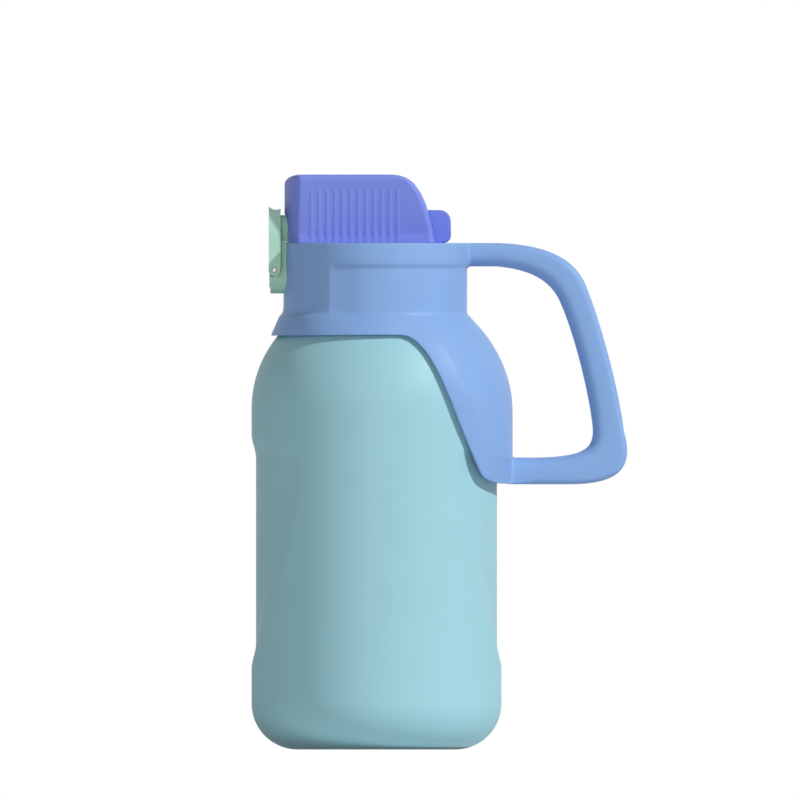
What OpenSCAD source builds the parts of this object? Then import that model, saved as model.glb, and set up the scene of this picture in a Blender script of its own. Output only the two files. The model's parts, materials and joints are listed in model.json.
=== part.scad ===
// Large insulated water jug with a handle sleeve, a flip cap and a swing latch.
// The origin is the centre of the foot, +Z is up, and the handle is on +X. Millimetres.

/* [Bottle] */
// Radius of the straight outer wall
body_r = 62.5; // [62:0.1:63]
// Radius of the rounded lower corner
base_corner_r = 23; // [20:0.5:25]
// Height where the straight wall ends and the shoulder starts
shoulder_z = 170.5; // [170:0.1:171]
// Radius of the shoulder arc
shoulder_r = 57; // [56.5:0.1:57.5]
// Outer radius of the neck
neck_r = 38; // [37.8:0.1:38.1]
// Height of the rim of the mouth
rim_z = 247; // [246:0.1:247]
// Inner radius of the mouth
mouth_r = 35.1; // [34:0.1:35.3]
// Wall of the outer shell
shell_wall = 0.8; // [0.6:0.1:1]
// Wall of the inner liner
liner_wall = 0.6; // [0.5:0.1:0.8]
// Distance from the outer face of the bottle to the liner
liner_inset = 4.6; // [4.4:0.1:4.8]

/* [Grip pockets] */
// Depth of each pocket
pocket_depth = 2.25; // [1.5:0.05:2.5]
// Lower end of the pocket floor
pocket_low_z = 52.75; // [48:0.25:60]
// Upper end of the pocket floor
pocket_high_z = 145.75; // [140:0.25:148]
// Height of the sloped ends
pocket_ramp = 12; // [8:0.5:14]
// Half of the widest part of the outline
pocket_half_w = 49.7; // [45:0.1:51]
// Radius of the long sides of the outline
pocket_side_r = 133.4; // [120:0.1:150]
// Height of the widest part of the outline
pocket_wide_z = 138; // [134:0.5:140]
// Radius of the upper corners of the outline
pocket_corner_r = 20; // [14:0.5:20]

/* [Sleeve] */
// Clearance between the sleeve and the bottle
sleeve_gap = 0.35; // [0.3:0.05:0.5]
// Height of the sleeve's outer face over the bottle
sleeve_rise = 5.2; // [4.8:0.1:5.4]
// Height of the crease over the bottle beside the latch
latch_side_rise = 6.1; // [5.5:0.1:6.2]
// Height of the lower edge over the bottle
edge_rise = 2.5; // [2:0.1:3]
// Height of the level stretch of the lower edge
edge_z = 206.25; // [205.5:0.25:207]
// Height of the level stretch of the crease over the edge
crease_z = 216.6; // [216:0.1:217]
// Outer radius of the collar ring
ring_r = 46.5; // [46.3:0.1:46.7]
// Bore of the collar ring
ring_bore_r = 43.6; // [43.5:0.1:43.8]
// Top of the collar ring
ring_top_z = 253.25; // [253:0.05:253.5]
// Depth of the recessed panel round the ring
panel_depth = 1; // [0.5:0.1:1.2]
// Lower edge of the panel
panel_low_z = 217.6; // [217.4:0.1:218]
// Upper edge of the panel
panel_high_z = 241.75; // [240:0.25:243]
// Where the panel ends beside the latch
panel_left_x = -23.25; // [-28:0.25:-18]
// Corner radius of the panel
panel_corner_r = 3; // [1:0.5:5]

/* [Handle] */
// Thickness of the handle from front to back
handle_t = 19; // [16:0.5:21]
// Rounding of the edges that face the fingers
handle_inner_round = 4.5; // [3:0.1:5]
// Rounding of the edges that face away
handle_outer_round = 3.5; // [2.5:0.1:4]

/* [Lid] */
// Radius of the lid disc
lid_r = 43; // [42.6:0.1:43.1]
// Thickness of the lid disc
lid_t = 4; // [3.8:0.1:4]
// Inner radius of the screw skirt
skirt_in_r = 39.2; // [39.1:0.1:39.5]
// Outer radius of the screw skirt
skirt_out_r = 41.8; // [41.4:0.1:41.9]
// Lower end of the screw skirt
skirt_low_z = 228.5; // [227:0.5:232]
// Position of the drinking spout
spout_x = -16; // [-17:0.5:-14]
// Outer radius of the spout
spout_r = 11.5; // [11.2:0.1:11.6]
// Bore of the spout
spout_bore_r = 9.2; // [9:0.1:9.4]
// Top of the spout
spout_top_z = 272; // [270:0.5:273]

/* [Cap] */
// Reach of the cap's end over the latch
cap_r = 46; // [45.8:0.1:46]
// Radius of that end, seen from above
cap_end_r = 28; // [27:0.1:28.5]
// Half of the cap's width at the foot
cap_foot_half_w = 17.4; // [17.2:0.1:17.6]
// Half of the cap's width at the top, where the sides lean out to
cap_top_half_w = 21; // [20.5:0.1:21.5]
// Top of the cap
cap_top_z = 287.5; // [286:0.5:289]
// Clearance under the cap
cap_gap = 0.4; // [0.3:0.05:0.5]
// Wall of the cap
cap_wall = 2.2; // [1.8:0.1:2.6]
// Rounding of the long upper edges
cap_edge_r = 2.5; // [1.5:0.1:3]
// Number of grip ribs on each side
rib_count = 12; // [8:1:13]
// Distance between ribs
rib_pitch = 3.92; // [3.2:0.02:3.92]
// Radius of the rounded ribs
rib_r = 1.1; // [0.8:0.1:1.3]
// Height of the ribs over the side at the foot
rib_rise = 0.6; // [0.5:0.1:0.8]
// Position of the hinge pin
hinge_x = 31.75; // [31.5:0.05:32]
// Height of the hinge pin
hinge_z = 262; // [261.8:0.1:262.2]
// Radius of the hinge pin
hinge_pin_r = 1.5; // [1.2:0.1:1.8]

/* [Latch] */
// Position of the latch pin
pin_x = -51.05; // [-51.1:0.05:-51]
// Height of the latch pin
pin_z = 239.55; // [239.3:0.05:239.8]
// Radius of the latch pin
pin_r = 1.1; // [1:0.1:1.3]
// Half of the lever's width
lever_half_w = 12; // [11.5:0.1:12]
// Tip of the lever
lever_top_z = 271.75; // [271:0.25:272]

/* [Hidden] */
$fn = 96;

// Extra length of a cut, so that it runs clear of the face it opens
eps = 1;
// Running clearance of a pin in its bore
pin_play = 0.05;

// Bottle
foot_r = body_r - base_corner_r;
shoulder_c = body_r - shoulder_r;
foot_hole_r = 33;
bead_r = 0.8;
bead_z = 224.2;
lip_h = 1.4;

// Base plate and getter
plate_t = 0.8;
plate_r = 37;
plate_step_r = 26;
plate_rise = 1.2;
getter_r = 6;
getter_h = 1.4;

// Sleeve edge and crease, as seen from the side, from the level stretch to the foot of the tongue
edge_path = [
    [[11.75, edge_z], [23, edge_z], [30.3, 188.5], [36.75, 173.25]],
    [[36.75, 173.25], [40.5, 163.3], [46.5, 149], [51.1, 139.2]],
    [[51.1, 139.2], [53, 135], [56, 133.6], [61, 133.3]]
];
crease_path = [
    [[14, crease_z], [29, crease_z], [38, 195], [46.3, 176]],
    [[46.3, 176], [50.5, 166.5], [54, 155.5], [59, 149]],
    [[59, 149], [61, 146.8], [63.5, 145.8], [66, 145.6]]
];
path_steps = [10, 8, 6];
level_steps = 20;
tongue_steps = 4;
// Angles between which the crease rises towards the latch
rise_angles = [112, 140];
dome_top_z = 217.8;
dome_rows = 7;
inner_rows = 10;
inner_top_z = 213;
tie_depth = 2;
ledge_low_z = 219;
ledge_top_z = 223;
ledge_bore_r = 38.4;

// Lower part of the collar ring: inner wall, root inside the dome and concave flare beside the latch
throat_r = 43;
throat_low_z = 215;
root = [44.6, 213.6];
root_top_z = 216;
flare_r = 34;
flare_top_z = 227;
flare_low_z = 217;
flare_reach = 2;
neck_gasket_r = throat_r - 0.2;
neck_gasket_low_z = 213.8;

// Handle outline: the outer and the inner edge, as seen from the side
handle_outer = [
    [[60, 253.25], [83, 252.6], [98, 246.8], [104.3, 233]],
    [[104.3, 233], [111.4, 216], [121, 182], [123.75, 159]],
    [[123.75, 159], [129.2, 140.6], [121, 132.9], [98, 132.6]]
];
handle_inner = [
    [[60, 241.4], [78, 239.2], [87, 233], [91.75, 223.75]],
    [[91.75, 223.75], [98.5, 209], [105.8, 180], [107.75, 163.75]],
    [[107.75, 163.75], [109.4, 151], [103.6, 147.8], [86.75, 146.25]]
];
handle_steps = [10, 8, 10];
handle_foot_z = [132.6, 146];
// Stations of the two arms beside the sleeve: place, and how far the arm flares there
upper_arm = [[44.3, 2.4], [46.9, 1.2], [48.2, 0.4], [50.5, 0]];
lower_arm = [[72.5, 0], [70.3, 0.4], [69, 1.2], [65, 2.4]];
corner_steps = 4;

// Lid
lid_top_z = ring_top_z;
lid_low_z = lid_top_z - lid_t;
seal_gap = 0.3;
seal_in_play = 0.3;
seal_out_play = 0.1;
flange_r = spout_r + 2.7;
flange_low_z = 246;
gasket_t = 1.2;
gasket_inset = 0.4;
lug_in_y = 6;
lug_out_y = 10.4;
// Wall that covers the hinge pin's ends
pin_cover = 1;
lug_x = [25.75, 37.25];
lug_top_z = 269.75;
lug_upper_r = 4.25;
lug_lower_r = 3.5;

// Cap
cap_low_z = ring_top_z + cap_gap;
// Length and height of the rounded upper edge over the latch
cap_nose = [8, 5];
cap_nose_steps = 8;
cap_back = [[6.5, cap_top_z], [17.5, cap_top_z], [24.5, 282.5], [29.4, ring_top_z]];
cap_back_steps = 14;
cap_cavity_x = -41.5;
rib_first_x = -32.6;
rib_low_z = cap_low_z + 0.4;
rib_top_z = 280.75;
rib_top_rise = 0.15;
knuckle_r = 4.5;
knuckle_half_w = 5.6;
// Web between the knuckle and the back wall: length, and how far it is drawn in above and below
knuckle_web = [6.5, 1];
slot_r = 11;
slot_play = 0.4;
boss_low_z = 275;
boss_r = [10, 12.3];

// Spout seal
seal_low_z = spout_top_z + seal_gap;
plug_h = 2.5;
plug_r = [6.2, 8.6];
stem_r = 9.9;
stem_h = 3;

// Keeper
keeper_z = [253.75, 267.25];
keeper_half_w = 9;
keeper_back_x = -44;
keeper_front_x = -47.9;
keeper_corner_r = 6;
keeper_play = 0.2;
catch_r = 1.5;
catch_x = -48.5;
catch_z = 259.5;
catch_half_w = 5;
catch_root = 3;

// Latch
lever_front_x = -54.1;
lever_back_x = -48.05;
lever_low_z = 243.2;
// Where the lever's sides start to draw in, and half of its width at the tip
taper_z = 258.7;
tip_half_w = 8.3;
ear_in_y = 9;
ear_r = 2.95;
groove_x = -50.6;
groove_z = 256.5;
groove_half_w = 5.6;
// Finger scoop in the top of the lever, seen from the side
scoop = [-50.3, 274.4];
scoop_r = 4.65;
bracket_z = [228, 253.6];
bracket_half_w = 12;
bracket_plate_half_w = 10.8;
bracket_corner_r = 9;
bracket_depth = 8;
bracket_block_depth = 11;
bracket_plate_x = -47.9;
knuckle_front_x = -53.6;
bracket_knuckle_half_w = 8.7;
step_z = 230.25;
step_x = -53.1;
// Top of the full-width block under the lever's ears
block_top_z = 235.8;

// Screws: shank radius, head radius, head height
bracket_screw = [1.2, 2.2, 1.5];
bracket_screw_y = 6;
bracket_screw_z = 233;
bracket_screw_x = [-50, -43.9];
keeper_screw = [1, 1.9, 1.5];
keeper_screw_y = 5.5;
keeper_screw_z = 260.5;
keeper_screw_x = [-45.6, cap_cavity_x];

// Colours
shell_colour = "#98c8d2";
sleeve_colour = "#87aada";
cap_colour = "#7384d5";
lid_colour = "#6e80da";
latch_colour = "#acd6c2";
steel_colour = "#b6b3ac";
seal_colour = "#d8dcdc";
spout_colour = "#a9bfe6";

// Curves

function bezier(p, t) =
    pow(1 - t, 3) * p[0] + 3 * t * pow(1 - t, 2) * p[1] + 3 * t * t * (1 - t) * p[2] + pow(t, 3) * p[3];

// Points along a chain of curves, without the first point
function chain(path, steps) =
    [for (k = [0 : len(path) - 1]) for (i = [1 : steps[k]]) bezier(path[k], i / steps[k])];

// Radius of the bottle, grown by a distance, at a height
function bottle_r(z, grow) =
    z <= shoulder_z ? body_r + grow
    : shoulder_c + sqrt(pow(shoulder_r + grow, 2) - pow(z - shoulder_z, 2));

// Angle from +X at which a side-view point lies on the grown bottle
function side_angle(p, grow) = acos(min(1, p[0] / bottle_r(p[1], grow)));

function on_circle(r, angle, z) = [r * cos(angle), -r * sin(angle), z];

// Triangles of a grid of rings, each ring a closed loop of count points
function grid_faces(rings, count, closed) =
    [for (i = [0 : rings - (closed ? 1 : 2)]) for (j = [0 : count - 1])
        let (a = i * count, b = ((i + 1) % rings) * count, k = (j + 1) % count)
        each [[a + j, a + k, b + k], [a + j, b + k, b + j]]];

// Bottle

module bottle_profile(inset, neck) {
    translate([0, base_corner_r]) square([body_r - inset, shoulder_z - base_corner_r]);
    translate([0, inset]) square([foot_r, base_corner_r - inset]);
    intersection() {
        translate([foot_r, base_corner_r]) circle(r = base_corner_r - inset);
        translate([foot_r, 0]) square(base_corner_r);
    }
    intersection() {
        translate([shoulder_c, shoulder_z]) circle(r = shoulder_r - inset);
        translate([0, shoulder_z]) square(body_r);
    }
    translate([0, shoulder_z]) square([neck, rim_z - shoulder_z]);
}

// Outline of a grip pocket, seen along X
module pocket_outline() {
    top = pocket_high_z + pocket_ramp;
    side = pocket_half_w - pocket_corner_r;
    intersection() {
        translate([pocket_half_w - pocket_side_r, pocket_wide_z]) circle(r = pocket_side_r);
        translate([pocket_side_r - pocket_half_w, pocket_wide_z]) circle(r = pocket_side_r);
        union() {
            translate([-pocket_half_w, 0]) square([2 * pocket_half_w, top - pocket_corner_r]);
            translate([-side, 0]) square([2 * side, top]);
            for (s = [-1, 1])
                translate([s * side, top - pocket_corner_r]) circle(r = pocket_corner_r);
        }
    }
}

// What the grip pockets take away from the bottle, inset by a distance
module pockets(inset) {
    floor_r = body_r - pocket_depth - inset;
    slope = pocket_ramp / pocket_depth;
    reach = (pocket_depth + inset + eps) * slope;
    intersection() {
        rotate_extrude()
            polygon([[floor_r, pocket_low_z], [body_r + eps, pocket_low_z - reach],
                     [body_r + eps, pocket_high_z + reach], [floor_r, pocket_high_z]]);
        rotate([90, 0, 90]) linear_extrude(height = 2 * body_r + 4 * eps, center = true)
            pocket_outline();
    }
}

module bottle_form(inset) {
    difference() {
        rotate_extrude() bottle_profile(inset, neck_r - inset);
        pockets(inset);
    }
}

module outer_shell() {
    color(shell_colour) {
        difference() {
            bottle_form(0);
            bottle_form(shell_wall);
            translate([0, 0, -eps]) cylinder(r = foot_hole_r, h = shell_wall + 2 * eps);
            translate([0, 0, rim_z - lip_h]) cylinder(r = neck_r - shell_wall, h = lip_h + eps);
        }
        rotate_extrude() intersection() {
            translate([neck_r, bead_z]) circle(r = bead_r);
            translate([neck_r - shell_wall / 2, bead_z - bead_r]) square([2 * bead_r, 2 * bead_r]);
        }
    }
}

module inner_liner() {
    inside = liner_inset + liner_wall;
    color(steel_colour) {
        difference() {
            rotate_extrude() bottle_profile(liner_inset, mouth_r + liner_wall);
            rotate_extrude() bottle_profile(inside, mouth_r);
            translate([0, 0, rim_z - lip_h]) cylinder(r = mouth_r, h = lip_h + eps);
        }
        translate([0, 0, rim_z - lip_h]) difference() {
            cylinder(r = neck_r - shell_wall, h = lip_h);
            translate([0, 0, -eps]) cylinder(r = mouth_r, h = lip_h + 2 * eps);
        }
    }
}

module base_plate() {
    low = shell_wall;
    color(steel_colour) rotate_extrude()
        polygon([[0, low + plate_rise], [plate_step_r - plate_rise, low + plate_rise],
                 [plate_step_r, low], [plate_r, low], [plate_r, low + plate_t],
                 [plate_step_r, low + plate_t], [plate_step_r - plate_rise, low + plate_rise + plate_t],
                 [0, low + plate_rise + plate_t]]);
}

module vacuum_getter() {
    color(steel_colour) translate([0, 0, shell_wall + plate_rise + plate_t])
        cylinder(r = getter_r, h = getter_h);
}

// Sleeve

// Height of the crease over the bottle, which grows towards the latch
function crease_rise(angle) =
    let (t = max(0, min(1, (abs(angle) - rise_angles[0]) / (rise_angles[1] - rise_angles[0]))))
    sleeve_rise + (latch_side_rise - sleeve_rise) * t * t * (3 - 2 * t);

// One half of the sleeve's columns: edge angle and height, crease angle and height
edge_start = side_angle(edge_path[0][0], edge_rise);
crease_start = side_angle(crease_path[0][0], sleeve_rise);
edge_points = chain(edge_path, path_steps);
crease_points = chain(crease_path, path_steps);
edge_foot = edge_points[len(edge_points) - 1];
crease_foot = crease_points[len(crease_points) - 1];
front_columns = concat(
    [for (i = [0 : level_steps]) let (t = i / level_steps)
        [180 - t * (180 - edge_start), edge_z, 180 - t * (180 - crease_start), crease_z]],
    [for (i = [0 : len(edge_points) - 1])
        [side_angle(edge_points[i], edge_rise), edge_points[i][1],
         side_angle(crease_points[i], sleeve_rise), crease_points[i][1]]],
    [for (i = [1 : tongue_steps]) let (t = 1 - i / tongue_steps)
        [t * side_angle(edge_foot, edge_rise), edge_foot[1],
         t * side_angle(crease_foot, sleeve_rise), crease_foot[1]]]
);
sleeve_columns = concat(
    front_columns,
    [for (i = [len(front_columns) - 2 : -1 : 1]) let (c = front_columns[i]) [-c[0], c[1], -c[2], c[3]]]
);

// Section of the sleeve in one column: up the outer face, over the top and down the inner face
function sleeve_ring(c) = concat(
    [on_circle(bottle_r(c[1], edge_rise), c[0], c[1])],
    [for (k = [0 : dome_rows]) let (z = c[3] + (dome_top_z - c[3]) * k / dome_rows)
        on_circle(bottle_r(z, crease_rise(c[2])), c[2], z)],
    [on_circle(ring_r - tie_depth, c[2], ledge_low_z)],
    [for (k = [0 : inner_rows])
        let (t = k / inner_rows, angle = c[2] + (c[0] - c[2]) * t, z = inner_top_z + (c[1] - inner_top_z) * t)
        on_circle(bottle_r(z, sleeve_gap), angle, z)]
);

module sleeve_dome() {
    rings = [for (c = sleeve_columns) sleeve_ring(c)];
    polyhedron(points = [for (r = rings) each r], faces = grid_faces(len(rings), len(rings[0]), true));
}

// Collar ring with its ledge, flare, recessed panel and screw holes
module collar_ring() {
    difference() {
        rotate_extrude() {
            polygon([[ring_bore_r, ring_top_z], [ring_r, ring_top_z], [ring_r, root_top_z], root,
                     [throat_r, throat_low_z], [throat_r, ledge_low_z], [ledge_bore_r, ledge_low_z],
                     [ledge_bore_r, ledge_top_z], [ring_bore_r, ledge_top_z]]);
            difference() {
                translate([ring_r - flare_reach, flare_low_z])
                    square([2 * flare_reach, flare_top_z - flare_low_z]);
                translate([ring_r + flare_r, flare_top_z]) circle(r = flare_r);
            }
        }
        difference() {
            rotate([90, 0, 0]) linear_extrude(height = 4 * ring_r, center = true) panel_outline();
            cylinder(r = ring_r - panel_depth, h = 2 * ring_top_z);
        }
        for (s = [-1, 1])
            translate([0, s * bracket_screw_y, bracket_screw_z]) rotate([0, -90, 0]) {
                cylinder(r = bracket_screw[0], h = 2 * ring_r);
                cylinder(r = bracket_screw[1] + keeper_play, h = -bracket_screw_x[1]);
            }
    }
}

// Outline of the recessed panel, seen along Y
module panel_outline() {
    h = panel_high_z - panel_low_z;
    translate([panel_left_x + panel_corner_r, panel_low_z]) square([2 * ring_r, h]);
    translate([panel_left_x, panel_low_z + panel_corner_r])
        square([2 * panel_corner_r, h - 2 * panel_corner_r]);
    for (z = [panel_low_z + panel_corner_r, panel_high_z - panel_corner_r])
        translate([panel_left_x + panel_corner_r, z]) circle(r = panel_corner_r);
}

// One section of the handle between an outer and an inner point, flared to both sides
function handle_ring(o, i, flare) =
    let (w = norm(o - i), d = (o - i) / w, mid = (o + i) / 2,
         hy = handle_t / 2 + flare, ro = handle_outer_round, ri = handle_inner_round,
         corners = [[w / 2 - ro, hy - ro, ro, 0], [ri - w / 2, hy - ri, ri, 90],
                    [ri - w / 2, ri - hy, ri, 180], [w / 2 - ro, ro - hy, ro, 270]])
    [for (c = corners) for (k = [0 : corner_steps])
        let (a = c[3] + 90 * k / corner_steps, u = c[0] + c[2] * cos(a), v = c[1] + c[2] * sin(a))
        [mid[0] + u * d[0], v, mid[1] + u * d[1]]];

module handle_grip() {
    top = [handle_outer[0][0][1], handle_inner[0][0][1]];
    outer = concat([handle_outer[0][0]], chain(handle_outer, handle_steps));
    inner = concat([handle_inner[0][0]], chain(handle_inner, handle_steps));
    rings = concat(
        [for (s = upper_arm) handle_ring([s[0], top[0]], [s[0], top[1]], s[1])],
        [for (i = [0 : len(outer) - 1]) handle_ring(outer[i], inner[i], 0)],
        [for (s = lower_arm) handle_ring([s[0], handle_foot_z[0]], [s[0], handle_foot_z[1]], s[1])]
    );
    count = len(rings[0]);
    last = (len(rings) - 1) * count;
    polyhedron(
        points = [for (r = rings) each r],
        faces = concat(
            grid_faces(len(rings), count, false),
            [for (k = [1 : count - 2]) [0, k + 1, k]],
            [for (k = [1 : count - 2]) [last, last + k, last + k + 1]]
        )
    );
}

module handle_sleeve() {
    color(sleeve_colour) {
        collar_ring();
        sleeve_dome();
        handle_grip();
    }
}

module neck_gasket() {
    color(seal_colour) difference() {
        translate([0, 0, neck_gasket_low_z])
            cylinder(r = neck_gasket_r, h = ledge_low_z - neck_gasket_low_z);
        rotate_extrude() bottle_profile(0, neck_r);
        cylinder(r = neck_r, h = ring_top_z);
    }
}

// Screws

// A row of two screws along X, with the heads on the +X side
module screw_pair(size, span, y, z) {
    for (s = [-1, 1]) translate([0, s * y, z]) rotate([0, 90, 0]) {
        translate([0, 0, span[0]]) cylinder(r = size[0], h = span[1] - span[0]);
        translate([0, 0, span[1]]) cylinder(r = size[1], h = size[2]);
    }
}

module bracket_screws() {
    color(steel_colour) screw_pair(bracket_screw, bracket_screw_x, bracket_screw_y, bracket_screw_z);
}

module keeper_screws() {
    color(steel_colour) screw_pair(keeper_screw, keeper_screw_x, keeper_screw_y, keeper_screw_z);
}

// Shank holes of a row of two screws
module screw_holes(size, span, y, z) {
    for (s = [-1, 1]) translate([0, s * y, z]) rotate([0, 90, 0])
        translate([0, 0, span[0]]) cylinder(r = size[0], h = span[1] - span[0]);
}

// Latch

// A side view, thickened to both sides of the middle plane
module across(half_w) {
    rotate([90, 0, 0]) linear_extrude(height = 2 * half_w, center = true) children();
}

// End view of a plate from low to high, with both corners of one end rounded
module rounded_end(half_w, low, high, corner_r, upper) {
    inner = half_w - corner_r;
    end = upper ? high - corner_r : low + corner_r;
    translate([-half_w, upper ? low : end]) square([2 * half_w, upper ? end - low : high - end]);
    translate([-inner, low]) square([2 * inner, high - low]);
    for (s = [-1, 1]) translate([s * inner, end]) circle(r = corner_r);
}

// An end view, run along X through the latch side
module along() {
    translate([-2 * ring_r, 0, 0]) rotate([90, 0, 90]) linear_extrude(height = 2 * ring_r) children();
}

module latch_bracket() {
    color(latch_colour) difference() {
        intersection() {
            union() {
                across(bracket_plate_half_w) translate([bracket_plate_x, bracket_z[0]])
                    square([bracket_depth, bracket_z[1] - bracket_z[0]]);
                across(bracket_half_w) {
                    translate([step_x, bracket_z[0]])
                        square([bracket_block_depth, block_top_z - bracket_z[0]]);
                    translate([knuckle_front_x, step_z]) square([bracket_depth, block_top_z - step_z]);
                }
                across(bracket_knuckle_half_w) {
                    translate([knuckle_front_x, step_z]) square([bracket_depth, pin_z - step_z]);
                    translate([pin_x, pin_z]) circle(r = pin_x - knuckle_front_x);
                }
            }
            along() rounded_end(bracket_half_w, bracket_z[0], bracket_z[1], bracket_corner_r, false);
        }
        cylinder(r = ring_r, h = 2 * ring_top_z);
        translate([pin_x, 0, pin_z]) rotate([90, 0, 0])
            cylinder(r = pin_r, h = 4 * bracket_half_w, center = true);
        screw_holes(bracket_screw, bracket_screw_x, bracket_screw_y, bracket_screw_z);
    }
}

module latch_pin() {
    color(steel_colour) translate([pin_x, 0, pin_z]) rotate([90, 0, 0])
        cylinder(r = pin_r, h = 2 * lever_half_w, center = true);
}

// End view of the lever, with sides that draw in towards the tip
module lever_end() {
    side = [[lever_half_w, 0], [lever_half_w, taper_z], [tip_half_w, lever_top_z]];
    polygon(concat(side, [for (i = [2 : -1 : 0]) [-side[i][0], side[i][1]]]));
}

module latch_lever() {
    depth = lever_back_x - lever_front_x;
    color(latch_colour) difference() {
        intersection() {
            across(lever_half_w) {
                translate([lever_front_x, pin_z]) square([depth, lever_top_z - pin_z]);
                translate([pin_x, pin_z]) circle(r = ear_r);
            }
            along() lever_end();
        }
        across(ear_in_y) translate([lever_front_x - eps, pin_z - 2 * ear_r])
            square([depth + 2 * eps, lever_low_z - pin_z + 2 * ear_r]);
        across(groove_half_w) translate([groove_x, groove_z]) square([depth, lever_top_z + eps - groove_z]);
        across(lever_half_w + eps) translate(scoop) circle(r = scoop_r);
        translate([pin_x, 0, pin_z]) rotate([90, 0, 0])
            cylinder(r = pin_r + pin_play, h = 4 * lever_half_w, center = true);
    }
}

// Lid

// Side view of a hinge lug, rounded on the handle side
module lug_outline() {
    low = lid_top_z - lid_t / 2;
    upper = [lug_x[1] - lug_upper_r, lug_top_z - lug_upper_r];
    lower = [lug_x[1] - lug_lower_r, lid_top_z + lug_lower_r];
    translate([lug_x[0], low]) square([lower[0] - lug_x[0], upper[1] - low]);
    translate([lug_x[0], low]) square([upper[0] - lug_x[0], lug_top_z - low]);
    translate([lug_x[0], lower[1]]) square([lug_x[1] - lug_x[0], upper[1] - lower[1]]);
    translate(upper) circle(r = lug_upper_r);
    translate(lower) circle(r = lug_lower_r);
}

module lid_base() {
    color(lid_colour) difference() {
        union() {
            translate([0, 0, lid_low_z]) cylinder(r = lid_r, h = lid_t);
            translate([0, 0, skirt_low_z]) difference() {
                cylinder(r = skirt_out_r, h = lid_low_z + lid_t / 2 - skirt_low_z);
                translate([0, 0, -eps]) cylinder(r = skirt_in_r, h = lid_low_z - skirt_low_z + eps);
            }
            difference() {
                across(lug_out_y) lug_outline();
                translate([0, 0, lid_top_z]) translate([0, -lug_in_y, 0])
                    cube([2 * lug_x[1], 2 * lug_in_y, lug_top_z]);
            }
        }
        translate([spout_x, 0, lid_low_z - eps]) cylinder(r = spout_r, h = lid_t + 2 * eps);
        translate([hinge_x, 0, hinge_z]) rotate([90, 0, 0])
            cylinder(r = hinge_pin_r, h = 2 * (lug_out_y - pin_cover), center = true);
    }
}

// A plain flat ring
module flat_ring(inner, outer, low, high) {
    translate([0, 0, low]) difference() {
        cylinder(r = outer, h = high - low);
        translate([0, 0, -eps]) cylinder(r = inner, h = high - low + 2 * eps);
    }
}

module mouth_seal() {
    color(seal_colour)
        flat_ring(mouth_r + seal_in_play, neck_r - seal_out_play, rim_z + seal_gap, lid_low_z);
}

module drinking_spout() {
    color(spout_colour) translate([spout_x, 0, 0]) difference() {
        union() {
            translate([0, 0, flange_low_z]) cylinder(r = spout_r, h = spout_top_z - flange_low_z);
            translate([0, 0, flange_low_z])
                cylinder(r = flange_r, h = lid_low_z - gasket_t - flange_low_z);
        }
        translate([0, 0, flange_low_z - eps])
            cylinder(r = spout_bore_r, h = spout_top_z - flange_low_z + 2 * eps);
    }
}

module spout_gasket() {
    color(seal_colour) translate([spout_x, 0, 0])
        flat_ring(spout_r, flange_r - gasket_inset, lid_low_z - gasket_t, lid_low_z);
}

module hinge_pin() {
    color(steel_colour) translate([hinge_x, 0, hinge_z]) rotate([90, 0, 0])
        cylinder(r = hinge_pin_r, h = 2 * (lug_out_y - pin_cover), center = true);
}

// Flip cap

// Side view of the cap, drawn in by a distance
module cap_side(inset, low) {
    nose_c = [cap_nose[0] - cap_r, cap_top_z - cap_nose[1]];
    nose = [for (i = [0 : cap_nose_steps]) let (a = 180 - 90 * i / cap_nose_steps)
        nose_c + [(cap_nose[0] - inset) * cos(a), (cap_nose[1] - inset) * sin(a)]];
    back = [for (i = [0 : cap_back_steps]) bezier(cap_back, i / cap_back_steps)];
    intersection() {
        translate([-inset, 0]) polygon(concat([[-2 * cap_r, low]], [[-2 * cap_r, cap_top_z]], back,
                                              [[cap_back[3][0], low]]));
        polygon(concat([[inset - cap_r, low]], nose, [[cap_r, cap_top_z - inset], [cap_r, low]]));
    }
}

// Half of the cap's width at a height
function cap_half_w(z) =
    cap_foot_half_w + (cap_top_half_w - cap_foot_half_w) * (z - cap_low_z) / (cap_top_z - cap_low_z);

// End view of the cap, drawn in by a distance, with sides that lean out and rounded upper edges
module cap_end(inset, low) {
    top = cap_top_z - inset;
    round_r = max(cap_edge_r - inset, 0.3);
    round_z = top - round_r;
    round_y = cap_half_w(round_z) - inset - round_r;
    foot = cap_half_w(low) - inset;
    polygon([[-foot, low], [foot, low], [round_y + round_r, round_z], [-round_y - round_r, round_z]]);
    translate([-round_y, round_z - eps]) square([2 * round_y, round_r + eps]);
    for (s = [-1, 1]) translate([s * round_y, round_z]) circle(r = round_r);
}

module cap_form(inset, low) {
    intersection() {
        across(2 * cap_top_half_w) cap_side(inset, low);
        rotate([90, 0, 90]) linear_extrude(height = 4 * cap_r, center = true) cap_end(inset, low);
        linear_extrude(height = 2 * cap_top_z) translate([cap_end_r - cap_r, 0]) {
            circle(r = cap_end_r - inset);
            translate([0, -cap_r]) square(2 * cap_r);
        }
    }
}

module cap_shell() {
    difference() {
        cap_form(0, cap_low_z);
        difference() {
            cap_form(cap_wall, cap_low_z - eps);
            translate([cap_cavity_x - cap_r, -cap_r, 0]) cube([cap_r, 2 * cap_r, 2 * cap_top_z]);
        }
        intersection() {
            translate([keeper_back_x - cap_r, -cap_r, 0]) cube([cap_r, 2 * cap_r, cap_top_z]);
            along() rounded_end(keeper_half_w + keeper_play, 0, keeper_z[1] + keeper_play,
                                keeper_corner_r + keeper_play, true);
        }
    }
}

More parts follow.
